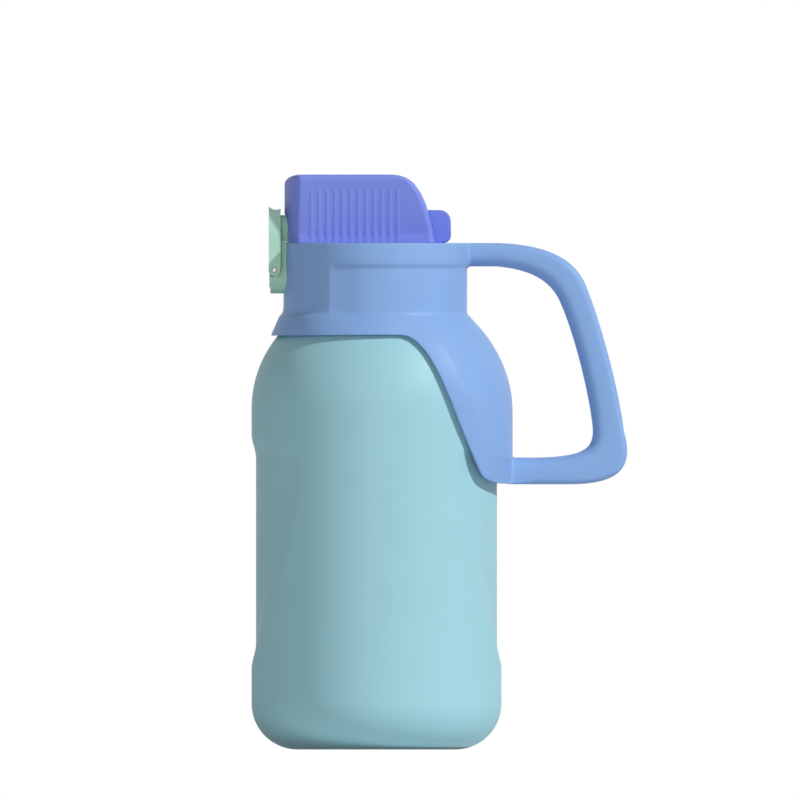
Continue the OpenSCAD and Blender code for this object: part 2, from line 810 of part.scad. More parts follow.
// Grip ribs, which lean out with the sides and grow lower towards the top
module cap_ribs() {
    h = rib_top_z - rib_low_z;
    foot_y = cap_half_w(rib_low_z) + rib_rise - rib_r;
    lean = atan((cap_half_w(rib_top_z) + rib_top_rise - rib_r - foot_y) / h);
    for (s = [-1, 1]) for (i = [0 : rib_count - 1])
        translate([rib_first_x + i * rib_pitch, s * foot_y, rib_low_z]) rotate([-s * lean, 0, 0])
            cylinder(r = rib_r, h = h);
}

module flip_cap() {
    color(cap_colour) difference() {
        union() {
            cap_shell();
            cap_ribs();
            translate([spout_x, 0, 0])
                flat_ring(boss_r[0], boss_r[1], boss_low_z, cap_top_z - cap_wall / 2);
            across(knuckle_half_w) {
                translate([hinge_x, hinge_z]) circle(r = knuckle_r);
                translate([hinge_x - knuckle_web[0], hinge_z - knuckle_r + knuckle_web[1]])
                    square([knuckle_web[0], 2 * (knuckle_r - knuckle_web[1])]);
            }
        }
        translate([hinge_x, 0, hinge_z]) rotate([90, 0, 0]) {
            cylinder(r = hinge_pin_r + pin_play, h = 4 * lug_out_y, center = true);
            for (s = [-1, 1]) translate([0, 0, s * (lug_in_y + lug_out_y) / 2])
                cylinder(r = slot_r, h = lug_out_y - lug_in_y + 2 * slot_play, center = true);
        }
        screw_holes(keeper_screw, keeper_screw_x, keeper_screw_y, keeper_screw_z);
    }
}

module spout_seal() {
    color(seal_colour) translate([spout_x, 0, seal_low_z]) {
        cylinder(r = boss_r[1], h = boss_low_z - seal_low_z);
        translate([0, 0, -plug_h]) cylinder(r1 = plug_r[0], r2 = plug_r[1], h = plug_h);
        cylinder(r = stem_r, h = boss_low_z - seal_low_z + stem_h);
    }
}

module cap_keeper() {
    color(latch_colour) difference() {
        union() {
            intersection() {
                translate([keeper_front_x, -keeper_half_w, keeper_z[0]])
                    cube([keeper_back_x - keeper_front_x, 2 * keeper_half_w, keeper_z[1] - keeper_z[0]]);
                along() rounded_end(keeper_half_w, keeper_z[0], keeper_z[1], keeper_corner_r, true);
            }
            across(catch_half_w) {
                translate([catch_x, catch_z]) circle(r = catch_r);
                translate([catch_x, catch_z - catch_r]) square([catch_root, 2 * catch_r]);
            }
        }
        screw_holes(keeper_screw, keeper_screw_x, keeper_screw_y, keeper_screw_z);
    }
}

outer_shell();
inner_liner();
base_plate();
vacuum_getter();
handle_sleeve();
neck_gasket();
latch_bracket();
bracket_screws();
latch_pin();
latch_lever();
lid_base();
mouth_seal();
drinking_spout();
spout_gasket();
hinge_pin();
flip_cap();
spout_seal();
cap_keeper();
keeper_screws();
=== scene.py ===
# Large insulated water jug, seen level from the side with the handle on the right.
# Smooth shells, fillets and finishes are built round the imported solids, in their own frame.
import json
from math import acos, asin, atan2, cos, pi, radians, sin, sqrt, tan

import bmesh
import bpy
from mathutils import Matrix, Vector


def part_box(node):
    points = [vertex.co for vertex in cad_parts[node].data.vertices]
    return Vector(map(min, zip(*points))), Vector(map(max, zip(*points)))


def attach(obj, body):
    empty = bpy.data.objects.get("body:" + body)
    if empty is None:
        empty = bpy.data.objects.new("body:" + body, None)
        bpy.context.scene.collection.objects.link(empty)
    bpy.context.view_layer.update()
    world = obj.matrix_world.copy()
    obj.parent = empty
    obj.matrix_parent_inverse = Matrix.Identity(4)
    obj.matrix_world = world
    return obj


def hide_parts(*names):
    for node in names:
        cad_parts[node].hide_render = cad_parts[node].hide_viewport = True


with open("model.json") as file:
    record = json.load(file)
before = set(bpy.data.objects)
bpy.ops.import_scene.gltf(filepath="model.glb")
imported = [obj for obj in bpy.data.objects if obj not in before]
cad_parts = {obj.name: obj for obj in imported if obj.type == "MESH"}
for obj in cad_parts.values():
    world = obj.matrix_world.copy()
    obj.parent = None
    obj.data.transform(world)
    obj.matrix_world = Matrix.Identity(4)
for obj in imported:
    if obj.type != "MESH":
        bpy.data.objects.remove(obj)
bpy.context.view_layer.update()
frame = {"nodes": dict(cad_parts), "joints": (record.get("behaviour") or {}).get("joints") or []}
scene = bpy.context.scene
joints = {joint["name"]: joint for joint in frame["joints"]}
mm = 0.001  # pieces are modelled in millimetres and scaled once they are finished


def nodeBox(node):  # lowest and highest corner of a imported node, in millimetres
    low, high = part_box(node)
    return low / mm, high / mm


shellHigh = nodeBox("outer_shell")[1]
ringTop = nodeBox("handle_sleeve")[1].z
lidLow, lidHigh = nodeBox("lid_base")
spoutLow, spoutHigh = nodeBox("drinking_spout")
capLow, capHigh = nodeBox("flip_cap")
keeperHigh = nodeBox("cap_keeper")[1]
leverLow, leverHigh = nodeBox("latch_lever")
bracketLow = nodeBox("latch_bracket")[0]
hingeAt = Vector(joints["cap_hinge"]["pos_m"]) / mm
latchAt = Vector(joints["lever_pivot"]["pos_m"]) / mm
print("frame loaded, jug", round(capHigh.z, 1), "mm tall")

# Camera: level side view without perspective, as in the photograph
view = {
    "frameWidth": 400.0,
    "middle": (11.75, 174.75),  # X and Z in the middle of the picture
    "distance": 2000.0,
    "farthest": 10000.0,        # nothing beyond this is drawn
}
cameraData = bpy.data.cameras.new("sideView")
cameraData.type = "ORTHO"
cameraData.ortho_scale = view["frameWidth"] * mm
cameraData.clip_end = view["farthest"] * mm
camera = bpy.data.objects.new("sideView", cameraData)
camera.location = Vector((view["middle"][0], -view["distance"], view["middle"][1])) * mm
camera.rotation_euler = (pi / 2, 0, 0)
scene.collection.objects.link(camera)
scene.camera = camera
scene.view_settings.view_transform = "Standard"

# Studio light: angles run from the camera's side towards the handle, and up from the floor
light = {
    "key": {"around": 57, "height": 36, "power": 2.66, "softness": 4},
    "fill": {"around": -8, "height": 10, "power": 0.80, "softness": 30},
    "ambient": 0.11,
    "white": 1.0,
}


def addSun(name, around, height, power, softness):
    lamp = bpy.data.lights.new(name, "SUN")
    lamp.energy = power
    lamp.angle = radians(softness)
    sun = bpy.data.objects.new(name, lamp)
    a, h = radians(around), radians(height)
    towardsLamp = Vector((sin(a) * cos(h), -cos(a) * cos(h), sin(h)))
    sun.rotation_euler = towardsLamp.to_track_quat("Z", "Y").to_euler()
    scene.collection.objects.link(sun)


addSun("keySun", **light["key"])
addSun("fillSun", **light["fill"])


# Materials

def toLinear(hexColour):
    channels = [int(hexColour[i:i + 2], 16) / 255 for i in (1, 3, 5)]
    return [c / 12.92 if c <= 0.04045 else ((c + 0.055) / 1.055) ** 2.4 for c in channels] + [1]


def addNode(tree, kind, settings=None, links=None):
    node = tree.nodes.new(kind)
    for name, value in (settings or {}).items():
        if name in node.inputs:
            node.inputs[name].default_value = value
        else:
            setattr(node, name, value)
    for name, source in (links or {}).items():
        tree.links.new(source, node.inputs[name])
    return node


def perMetre(millimetres):  # texture scale that gives a pattern of that size
    return 1 / (millimetres * mm)


def startMaterial(name, settings):
    material = bpy.data.materials.new(name)
    material.use_nodes = True
    tree = material.node_tree
    shader = tree.nodes["Principled BSDF"]
    for socket, value in settings.items():
        shader.inputs[socket].default_value = value
    place = addNode(tree, "ShaderNodeTexCoord").outputs["Object"]
    return material, tree, shader, place


def tint(tree, shader, pattern, darkHex, paleHex):  # base colour between two shades
    ramp = addNode(tree, "ShaderNodeValToRGB", links={"Fac": pattern})
    stops = ((0.3, darkHex), (0.7, paleHex))  # most of a noise lies between these values
    for element, (position, hexColour) in zip(ramp.color_ramp.elements, stops):
        element.position = position
        element.color = toLinear(hexColour)
    tree.links.new(ramp.outputs["Color"], shader.inputs["Base Color"])


def gloss(tree, shader, pattern, low, high):  # roughness between two values
    spread = addNode(tree, "ShaderNodeMapRange", {"To Min": low, "To Max": high}, {"Value": pattern})
    tree.links.new(spread.outputs["Result"], shader.inputs["Roughness"])


# Powder-coated steel, sprayed and baked: matte, with the faint orange peel of melted powder
# Sizes of patterns and the height of their relief are in millimetres, here and below
coatFinish = {"cloud": 18.0, "peel": 1.1, "roughness": (0.44, 0.58), "bump": 0.12, "relief": 0.06}


def powderCoatedSteel(name, darkHex, paleHex):
    material, tree, shader, place = startMaterial(name, {"IOR": 1.5, "Specular IOR Level": 0.3})
    cloud = addNode(tree, "ShaderNodeTexNoise",
                    {"Scale": perMetre(coatFinish["cloud"]), "Detail": 3}, {"Vector": place})
    peel = addNode(tree, "ShaderNodeTexNoise",
                   {"Scale": perMetre(coatFinish["peel"]), "Detail": 4}, {"Vector": place})
    tint(tree, shader, cloud.outputs["Fac"], darkHex, paleHex)
    gloss(tree, shader, peel.outputs["Fac"], *coatFinish["roughness"])
    bump = addNode(tree, "ShaderNodeBump",
                   {"Strength": coatFinish["bump"], "Distance": coatFinish["relief"] * mm},
                   {"Height": peel.outputs["Fac"]})
    tree.links.new(bump.outputs["Normal"], shader.inputs["Normal"])
    return material


# Polypropylene, injection moulded in a spark-eroded tool: satin, with a fine even grain
# The real grain is finer, and it is drawn this coarse so that it shows
mouldFinish = {"flow": 25.0, "grain": 0.7, "roughness": (0.40, 0.54), "bump": 0.10, "relief": 0.04}


def mouldedPolypropylene(name, darkHex, paleHex):
    material, tree, shader, place = startMaterial(name, {"IOR": 1.49, "Specular IOR Level": 0.25})
    flow = addNode(tree, "ShaderNodeTexNoise",
                   {"Scale": perMetre(mouldFinish["flow"]), "Detail": 2}, {"Vector": place})
    grain = addNode(tree, "ShaderNodeTexNoise",
                    {"Scale": perMetre(mouldFinish["grain"]), "Detail": 3}, {"Vector": place})
    tint(tree, shader, flow.outputs["Fac"], darkHex, paleHex)
    gloss(tree, shader, grain.outputs["Fac"], *mouldFinish["roughness"])
    bump = addNode(tree, "ShaderNodeBump",
                   {"Strength": mouldFinish["bump"], "Distance": mouldFinish["relief"] * mm},
                   {"Height": grain.outputs["Fac"]})
    tree.links.new(bump.outputs["Normal"], shader.inputs["Normal"])
    return material


# Stainless steel, brushed on a lathe: grey, with fine lines round the axis
# The real lines are finer, and they are drawn this coarse so that they show
brushFinish = {"line": 0.5, "stretch": 0.04, "roughness": (0.42, 0.56), "bump": 0.08, "relief": 0.02}


def brushedStainlessSteel(name, darkHex, paleHex):
    material, tree, shader, place = startMaterial(name, {"Metallic": 1})
    across = brushFinish["stretch"]
    stretch = addNode(tree, "ShaderNodeMapping", {"Scale": (across, across, 1)}, {"Vector": place})
    lines = addNode(tree, "ShaderNodeTexNoise", {"Scale": perMetre(brushFinish["line"]), "Detail": 4},
                    {"Vector": stretch.outputs["Vector"]})
    tint(tree, shader, lines.outputs["Fac"], darkHex, paleHex)
    gloss(tree, shader, lines.outputs["Fac"], *brushFinish["roughness"])
    bump = addNode(tree, "ShaderNodeBump",
                   {"Strength": brushFinish["bump"], "Distance": brushFinish["relief"] * mm},
                   {"Height": lines.outputs["Fac"]})
    tree.links.new(bump.outputs["Normal"], shader.inputs["Normal"])
    return material


# Silicone rubber, compression moulded: milky and soft, with a dull bloom
softFinish = {"bloom": 6.0, "roughness": (0.5, 0.68), "milk": 0.2, "milkDepth": 0.5}


def mouldedSilicone(name, darkHex, paleHex):
    milky = {"Subsurface Weight": softFinish["milk"], "Subsurface Scale": softFinish["milkDepth"] * mm}
    material, tree, shader, place = startMaterial(name, {"IOR": 1.41, **milky})
    bloom = addNode(tree, "ShaderNodeTexNoise",
                    {"Scale": perMetre(softFinish["bloom"]), "Detail": 4}, {"Vector": place})
    tint(tree, shader, bloom.outputs["Fac"], darkHex, paleHex)
    gloss(tree, shader, bloom.outputs["Fac"], *softFinish["roughness"])
    return material


# Copolyester, moulded in a polished tool: glossy and even, with the slightest ripple
polishFinish = {"ripple": 9.0, "roughness": (0.12, 0.2)}


def polishedCopolyester(name, darkHex, paleHex):
    material, tree, shader, place = startMaterial(name, {"IOR": 1.57})
    ripple = addNode(tree, "ShaderNodeTexNoise",
                     {"Scale": perMetre(polishFinish["ripple"]), "Detail": 2}, {"Vector": place})
    tint(tree, shader, ripple.outputs["Fac"], darkHex, paleHex)
    gloss(tree, shader, ripple.outputs["Fac"], *polishFinish["roughness"])
    return material


shellCoat = powderCoatedSteel("powderCoatedSteelTeal", "#95c4ce", "#96c6d0")
sleevePlastic = mouldedPolypropylene("mouldedPolypropyleneSky", "#7fa4d7", "#83a7da")
capPlastic = mouldedPolypropylene("mouldedPolypropyleneIndigo", "#7688da", "#798bdd")
lidPlastic = mouldedPolypropylene("mouldedPolypropyleneViolet", "#6b7ed8", "#6f82db")
latchPlastic = mouldedPolypropylene("mouldedPolypropyleneMint", "#a9d3bf", "#acd6c2")
steel = brushedStainlessSteel("brushedStainlessSteel", "#a9a69f", "#bcb9b2")
silicone = mouldedSilicone("mouldedSiliconeMilky", "#d0d5d5", "#dde1e1")
spoutPlastic = polishedCopolyester("polishedCopolyesterIce", "#a6bce3", "#aec3e8")
print("materials ready")


# World and floor: white to the camera, in reflections and through clear pieces, plain light for the rest
def seenRays(tree):  # 1 for a ray that shows the background, 0 for one that lights a piece
    rays = addNode(tree, "ShaderNodeLightPath")
    direct = addNode(tree, "ShaderNodeMath", {"operation": "MAXIMUM"},
                     {0: rays.outputs["Is Camera Ray"], 1: rays.outputs["Is Transmission Ray"]})
    seen = addNode(tree, "ShaderNodeMath", {"operation": "MAXIMUM"},
                   {0: direct.outputs[0], 1: rays.outputs["Is Glossy Ray"]})
    return seen.outputs[0]


studio = bpy.data.worlds.new("studio")
scene.world = studio
studio.use_nodes = True
worldTree = studio.node_tree
worldTree.nodes.clear()
ambient, backdrop = (
    addNode(worldTree, "ShaderNodeBackground", {"Color": (1, 1, 1, 1), "Strength": light[power]})
    for power in ("ambient", "white"))
either = addNode(worldTree, "ShaderNodeMixShader",
                 links={0: seenRays(worldTree), 1: ambient.outputs[0], 2: backdrop.outputs[0]})
addNode(worldTree, "ShaderNodeOutputWorld", links={"Surface": either.outputs[0]})

floorSize = {
    "half": 6000.0,
    "below": 0.05,
    "glow": 0.55,   # share of plain white in what is seen of it
    "speck": 40.0,  # size of its faint pattern
}
floorMesh = bmesh.new()
bmesh.ops.create_grid(floorMesh, x_segments=1, y_segments=1, size=floorSize["half"] * mm)
bmesh.ops.translate(floorMesh, vec=(0, 0, -floorSize["below"] * mm), verts=floorMesh.verts)
floorData = bpy.data.meshes.new("paleFloor")
floorMesh.to_mesh(floorData)
floorMesh.free()
floor = bpy.data.objects.new("paleFloor", floorData)
scene.collection.objects.link(floor)
floorPaint, floorTree, shader, place = startMaterial("mattFloorPaint", {"Roughness": 0.9})
speck = addNode(floorTree, "ShaderNodeTexNoise", {"Scale": perMetre(floorSize["speck"])},
                {"Vector": place})
tint(floorTree, shader, speck.outputs["Fac"], "#ececec", "#f2f2f2")
lift = addNode(floorTree, "ShaderNodeMath", {"operation": "MULTIPLY"}, {0: seenRays(floorTree)})
lift.inputs[1].default_value = floorSize["glow"]
glow = addNode(floorTree, "ShaderNodeEmission", {"Strength": light["white"]})
lifted = addNode(floorTree, "ShaderNodeMixShader",
                 links={0: lift.outputs[0], 1: shader.outputs[0], 2: glow.outputs[0]})
floorTree.links.new(lifted.outputs[0], floorTree.nodes["Material Output"].inputs["Surface"])
floorData.materials.append(floorPaint)
print("camera, light and floor ready")


# Shaping helpers

def rounded(corners, steps=5):  # corners are (a, b) or (a, b, radius), and a radius becomes an arc
    points = []
    for i, corner in enumerate(corners):
        here = Vector(corner[:2])
        if len(corner) == 2:
            points.append(here)
            continue
        before = (Vector(corners[i - 1][:2]) - here).normalized()
        after = (Vector(corners[(i + 1) % len(corners)][:2]) - here).normalized()
        half = before.angle(after) / 2
        middle = here + (before + after).normalized() * corner[2] / sin(half)
        start = here + before * corner[2] / tan(half) - middle
        end = here + after * corner[2] / tan(half) - middle
        turn = pi - 2 * half
        for k in range(steps + 1):
            share = k / steps
            swing = start * sin((1 - share) * turn) + end * sin(share * turn)
            points.append(middle + swing / sin(turn))
    return points


def arc(middle, radius, first, last, steps):  # angles in degrees
    turns = [radians(first + (last - first) * k / steps) for k in range(steps + 1)]
    return [Vector((middle[0] + radius * cos(a), middle[1] + radius * sin(a))) for a in turns]


def bezier(p, t):  # point on a curve with four control points
    s = 1 - t
    return (Vector(p[0]) * s ** 3 + Vector(p[1]) * 3 * t * s * s
            + Vector(p[2]) * 3 * t * t * s + Vector(p[3]) * t ** 3)


def chain(path, steps):  # points along a chain of curves, without the first point
    return [bezier(part, k / n) for part, n in zip(path, steps) for k in range(1, n + 1)]


def smoothStep(low, high, x):
    t = max(0, min(1, (x - low) / (high - low)))
    return t * t * (3 - 2 * t)


def softMax(a, b, blend):  # the larger value, with a rounded corner where they cross
    h = max(blend - abs(a - b), 0) / blend
    return max(a, b) + h * h * blend / 4


def spun(profile, steps=160, closed=True, turns=1, rise=0):  # profile of (radius, height) about Z
    bm = bmesh.new()
    ring = [bm.verts.new((p[0], 0, p[1])) for p in profile]
    ends = ring[1:] + ring[:1] if closed else ring[1:]
    edges = [bm.edges.new(pair) for pair in zip(ring, ends)]
    bmesh.ops.spin(bm, geom=ring + edges, cent=(0, 0, 0), axis=(0, 0, 1), dvec=(0, 0, rise / steps),
                   angle=2 * pi * turns, steps=steps, use_merge=rise == 0)
    return bm


def prism(outline, low, high, edge=0.0):  # outline of (x, z) run along Y, with rounded rims
    bm = bmesh.new()
    face = bm.faces.new([bm.verts.new((p[0], low, p[1])) for p in outline])
    grown = bmesh.ops.extrude_face_region(bm, geom=[face])["geom"]
    farSide = [g for g in grown if isinstance(g, bmesh.types.BMVert)]
    bmesh.ops.translate(bm, vec=(0, high - low, 0), verts=farSide)
    if edge:
        rims = [e for e in bm.edges if abs(e.verts[0].co.y - e.verts[1].co.y) < 0.001]
        bmesh.ops.bevel(bm, geom=rims, offset=edge, affect="EDGES", segments=3, profile=0.5,
                        material=-1)
    return bm


def turned(bm, angle, axis, move=(0, 0, 0)):  # turn about the origin, then move
    turn = Matrix.Rotation(radians(angle), 3, axis)
    bmesh.ops.rotate(bm, cent=(0, 0, 0), matrix=turn, verts=bm.verts)
    bmesh.ops.translate(bm, vec=move, verts=bm.verts)
    return bm


def cylinder(radius, low, high, steps, soft=0.0):  # a rod about Z, with rounded rims where asked
    corner = (soft,) if soft else ()
    profile = rounded([(0, low), (radius, low) + corner, (radius, high) + corner, (0, high)])
    return spun(profile, steps, closed=False)


def acrossRod(radius, half, at, soft=0.0, steps=32):  # a rod along Y
    return turned(cylinder(radius, -half, half, steps, soft), 90, "X", (at.x, 0, at.z))


def block(low, high):  # a plain box between two corners
    bm = bmesh.new()
    bmesh.ops.create_cube(bm, size=1)
    low, high = Vector(low), Vector(high)
    bmesh.ops.scale(bm, vec=high - low, verts=bm.verts)
    bmesh.ops.translate(bm, vec=(low + high) / 2, verts=bm.verts)
    return bm


def plateAlongX(outline, low, high, edge=0.0):  # outline of (y, z) run along X
    return turned(prism(outline, low, high, edge), -90, "Z")


def archOutline(halfW, low, high, lowRound, highRound):  # a plate with rounded corners
    return rounded([(-halfW, low, lowRound), (halfW, low, lowRound),
                    (halfW, high, highRound), (-halfW, high, highRound)], 8)


def openEdges(bm):
    return [e for e in bm.edges if e.is_boundary]


def joined(*parts):  # several shapes in one mesh
    whole = parts[0]
    for part in parts[1:]:
        spare = bpy.data.meshes.new("spare")
        part.to_mesh(spare)
        part.free()
        whole.from_mesh(spare)
        bpy.data.meshes.remove(spare)
    return whole


def cleaned(bm):  # seams and poles closed, faces pointing outwards
    bmesh.ops.remove_doubles(bm, verts=bm.verts, dist=0.004)
    bmesh.ops.recalc_face_normals(bm, faces=bm.faces)
    return bm


def combined(base, others, operation):  # joins or cuts whole shapes
    helpers = []
    for bm in (base, *others):
        mesh = bpy.data.meshes.new("helper")
        cleaned(bm).to_mesh(mesh)
        bm.free()
        helpers.append(bpy.data.objects.new("helper", mesh))
        scene.collection.objects.link(helpers[-1])
    for other in helpers[1:]:
        step = helpers[0].modifiers.new("shape", "BOOLEAN")
        step.operation = operation
        step.object = other
        step.solver = "EXACT"
    result = bmesh.new()
    result.from_mesh(helpers[0].evaluated_get(bpy.context.evaluated_depsgraph_get()).to_mesh())
    for helper in helpers:
        mesh = helper.data
        bpy.data.objects.remove(helper)
        bpy.data.meshes.remove(mesh)
    return result


def loft(loops):  # a skin over closed loops with equal counts of points
    bm = bmesh.new()
    count = len(loops[0])
    bmesh.ops.create_grid(bm, x_segments=count, y_segments=len(loops) - 1, size=1)
    for v in bm.verts:
        i = round((v.co.x + 1) / 2 * count)
        j = round((v.co.y + 1) / 2 * (len(loops) - 1))
        v.co = loops[j][i % count]
    bmesh.ops.remove_doubles(bm, verts=bm.verts, dist=0.001)
    return bm


def finishPiece(name, bm, material, body, slot, *nodes, sharp=38, wall=0.0, edge=0.0, flat=False):
    cleaned(bm)
    bmesh.ops.scale(bm, vec=(mm, mm, mm), verts=bm.verts)
    mesh = bpy.data.meshes.new(name)
    bm.to_mesh(mesh)
    bm.free()
    mesh.shade_smooth()
    mesh.set_sharp_from_angle(angle=radians(sharp))
    mesh.materials.append(material)
    piece = bpy.data.objects.new(name, mesh)
    scene.collection.objects.link(piece)
    if wall:
        solid = piece.modifiers.new("wall", "SOLIDIFY")
        solid.thickness = wall * mm
        solid.offset = -1
        solid.use_even_offset = True
    if edge:
        bevel = piece.modifiers.new("softEdges", "BEVEL")
        bevel.width = edge * mm
        bevel.segments = 2
        bevel.limit_method = "ANGLE"
        bevel.angle_limit = radians(sharp)
    if flat:
        weigh = piece.modifiers.new("flatFaces", "WEIGHTED_NORMAL")
        weigh.keep_sharp = True
    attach(piece, body)
    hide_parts(*nodes)
    print(name, "made,", len(mesh.polygons), "faces")


# Bottle: one outline serves the shell and the liner inside it
bottle = {
    "bodyR": shellHigh.y,
    "cornerR": 23.0,
    "shoulderZ": 170.5,
    "shoulderR": 57.0,
    "neckR": 38.0,
    "rimZ": shellHigh.z,
    "footHoleR": 33.0,
    "wall": 0.8,
    "linerInset": 4.6,
    "linerWall": 0.6,
    "mouthR": 35.1,
    "lip": 1.4,
    "lipRounds": (0.6, 0.5),  # at the mouth and at the shell's rim
    "beadZ": 224.2,
    "beadR": 0.8,
    "rowSteps": (2.0, 8.0),   # height of the rows of faces on the shell and on the liner
    "neckRow": 6.0,           # and of one beside the bead and the lip
}
shellRow, linerRow = bottle["rowSteps"]
shoulderC = bottle["bodyR"] - bottle["shoulderR"]


def bottleR(z, grow):  # radius of the bottle, grown by a distance, at a height
    over = max(0, z - bottle["shoulderZ"])
    return shoulderC + sqrt(max(0, (bottle["shoulderR"] + grow) ** 2 - over ** 2))


def bottleOutline(inset, neckR, rowStep):  # from the foot up to the neck
    corner = bottle["cornerR"] - inset
    foot = bottle["bodyR"] - bottle["cornerR"]
    shoulder = bottle["shoulderR"] - inset
    rise = bottle["shoulderZ"] - bottle["cornerR"]
    rows = round(rise / rowStep)
    wallX = bottle["bodyR"] - inset
    points = arc((foot, bottle["cornerR"]), corner, -90, 0, 14)
    points += [Vector((wallX, bottle["cornerR"] + rise * k / rows)) for k in range(1, rows)]
    neckAngle = acos((neckR - shoulderC) / shoulder) * 180 / pi
    points += arc((shoulderC, bottle["shoulderZ"]), shoulder, 0, neckAngle, 22)
    return points


# Outer shell with a pressed grip pocket on the handle side and one on the latch side
pocket = {
    "depth": 2.25,
    "low": 52.75,
    "high": 145.75,
    "ramp": 12.0,
    "halfWidth": 49.7,
    "sideR": 133.4,
    "wideZ": 138.0,
    "cornerR": 20.0,
    "rim": 14.0,        # width of the slope inside its outline
    "leastFloor": 0.3,  # share of the width that the floor keeps where the pocket is narrow
    "quarter": 54,      # columns in a quarter turn
    "inside": 20,       # of these on the pocket's floor
    "across": 8,        # and across the slope
}


def pocketAngle(z):  # half the pocket's width at a height, as an angle
    top = pocket["high"] + pocket["ramp"]
    z = max(pocket["low"] - pocket["ramp"], min(top, z))
    sideY = (sqrt(pocket["sideR"] ** 2 - (z - pocket["wideZ"]) ** 2)
             - pocket["sideR"] + pocket["halfWidth"])
    over = max(0, z - top + pocket["cornerR"])
    cornerY = pocket["halfWidth"] - pocket["cornerR"] + sqrt(pocket["cornerR"] ** 2 - over ** 2)
    return asin(min(sideY, cornerY) / bottle["bodyR"])


def pocketDepth(z, share):  # share runs from 0 on the floor to 1 at the outline
    up = smoothStep(pocket["low"] - pocket["ramp"], pocket["low"], z)
    down = 1 - smoothStep(pocket["high"], pocket["high"] + pocket["ramp"], z)
    return pocket["depth"] * up * down * (1 - share)


beadTop = bottle["beadZ"] + bottle["beadR"]
shellProfile = [Vector((bottle["footHoleR"], 0))] + bottleOutline(0, bottle["neckR"], shellRow)
shellProfile += arc((bottle["neckR"], bottle["beadZ"]), bottle["beadR"], -90, 90, 8)
shellProfile += [Vector((bottle["neckR"], z)) for z in (beadTop + bottle["neckRow"], bottle["rimZ"])]
shell = cleaned(spun(shellProfile, steps=4 * pocket["quarter"], closed=False))
innerShare = pocket["inside"] / pocket["quarter"]
outerShare = (pocket["inside"] + pocket["across"]) / pocket["quarter"]
for v in shell.verts:
    r, z = v.co.xy.length, v.co.z
    fold = atan2(abs(v.co.y), abs(v.co.x)) / (pi / 2)
    edgeAt = pocketAngle(z)
    floorAt = max(pocket["leastFloor"] * edgeAt, edgeAt - pocket["rim"] / bottle["bodyR"])
    if fold <= innerShare:
        angle = fold / innerShare * floorAt
        r -= pocketDepth(z, 0)
    elif fold < outerShare:
        across = (fold - innerShare) / (outerShare - innerShare)
        angle = floorAt + (edgeAt - floorAt) * across
        r -= pocketDepth(z, across)
    else:
        angle = edgeAt + (fold - outerShare) / (1 - outerShare) * (pi / 2 - edgeAt)
    v.co.x = r * cos(angle) * (1 if v.co.x >= 0 else -1)
    v.co.y = r * sin(angle) * (1 if v.co.y >= 0 else -1)
finishPiece("outerShell", shell, shellCoat, "jug", "shell_coat", "outer_shell", wall=bottle["wall"])

# Inner liner, open at the mouth with a rolled lip on the shell's rim
linerIn = bottle["linerInset"] + bottle["linerWall"]
linerNeck = bottle["mouthR"] + bottle["linerWall"]
lipLow = bottle["rimZ"] - bottle["lip"]
lipR = bottle["neckR"] - bottle["wall"]
mouthRound, rimRound = bottle["lipRounds"]
linerProfile = [Vector((0, linerIn))] + bottleOutline(linerIn, bottle["mouthR"], linerRow)
linerProfile += rounded([(bottle["mouthR"], lipLow - bottle["neckRow"]),
                         (bottle["mouthR"], bottle["rimZ"], mouthRound),
                         (lipR, bottle["rimZ"], rimRound), (lipR, lipLow), (linerNeck, lipLow)])
linerProfile += bottleOutline(bottle["linerInset"], linerNeck, linerRow)[::-1]
linerProfile += [Vector((0, bottle["linerInset"]))]
finishPiece("innerLiner", spun(linerProfile, closed=False), steel, "jug", "steel", "inner_liner")

# Pressed base plate with a stepped middle
plateLow, plateHigh = nodeBox("base_plate")
plate = {"stepR": 26.0, "rise": 1.2, "thick": 0.8, "round": 0.5}
pressedR, pressedZ = plate["stepR"] - plate["rise"], plateLow.z + plate["rise"]
plateOuter = [(0, pressedZ), (pressedR, pressedZ, plate["round"]),
              (plate["stepR"], plateLow.z, plate["round"]), (plateHigh.x, plateLow.z)]
plateInner = [(p[0], p[1] + plate["thick"]) for p in plateOuter[::-1]]
plateShape = spun(rounded(plateOuter + plateInner), closed=False)
finishPiece("basePlate", plateShape, steel, "jug", "steel", "base_plate")

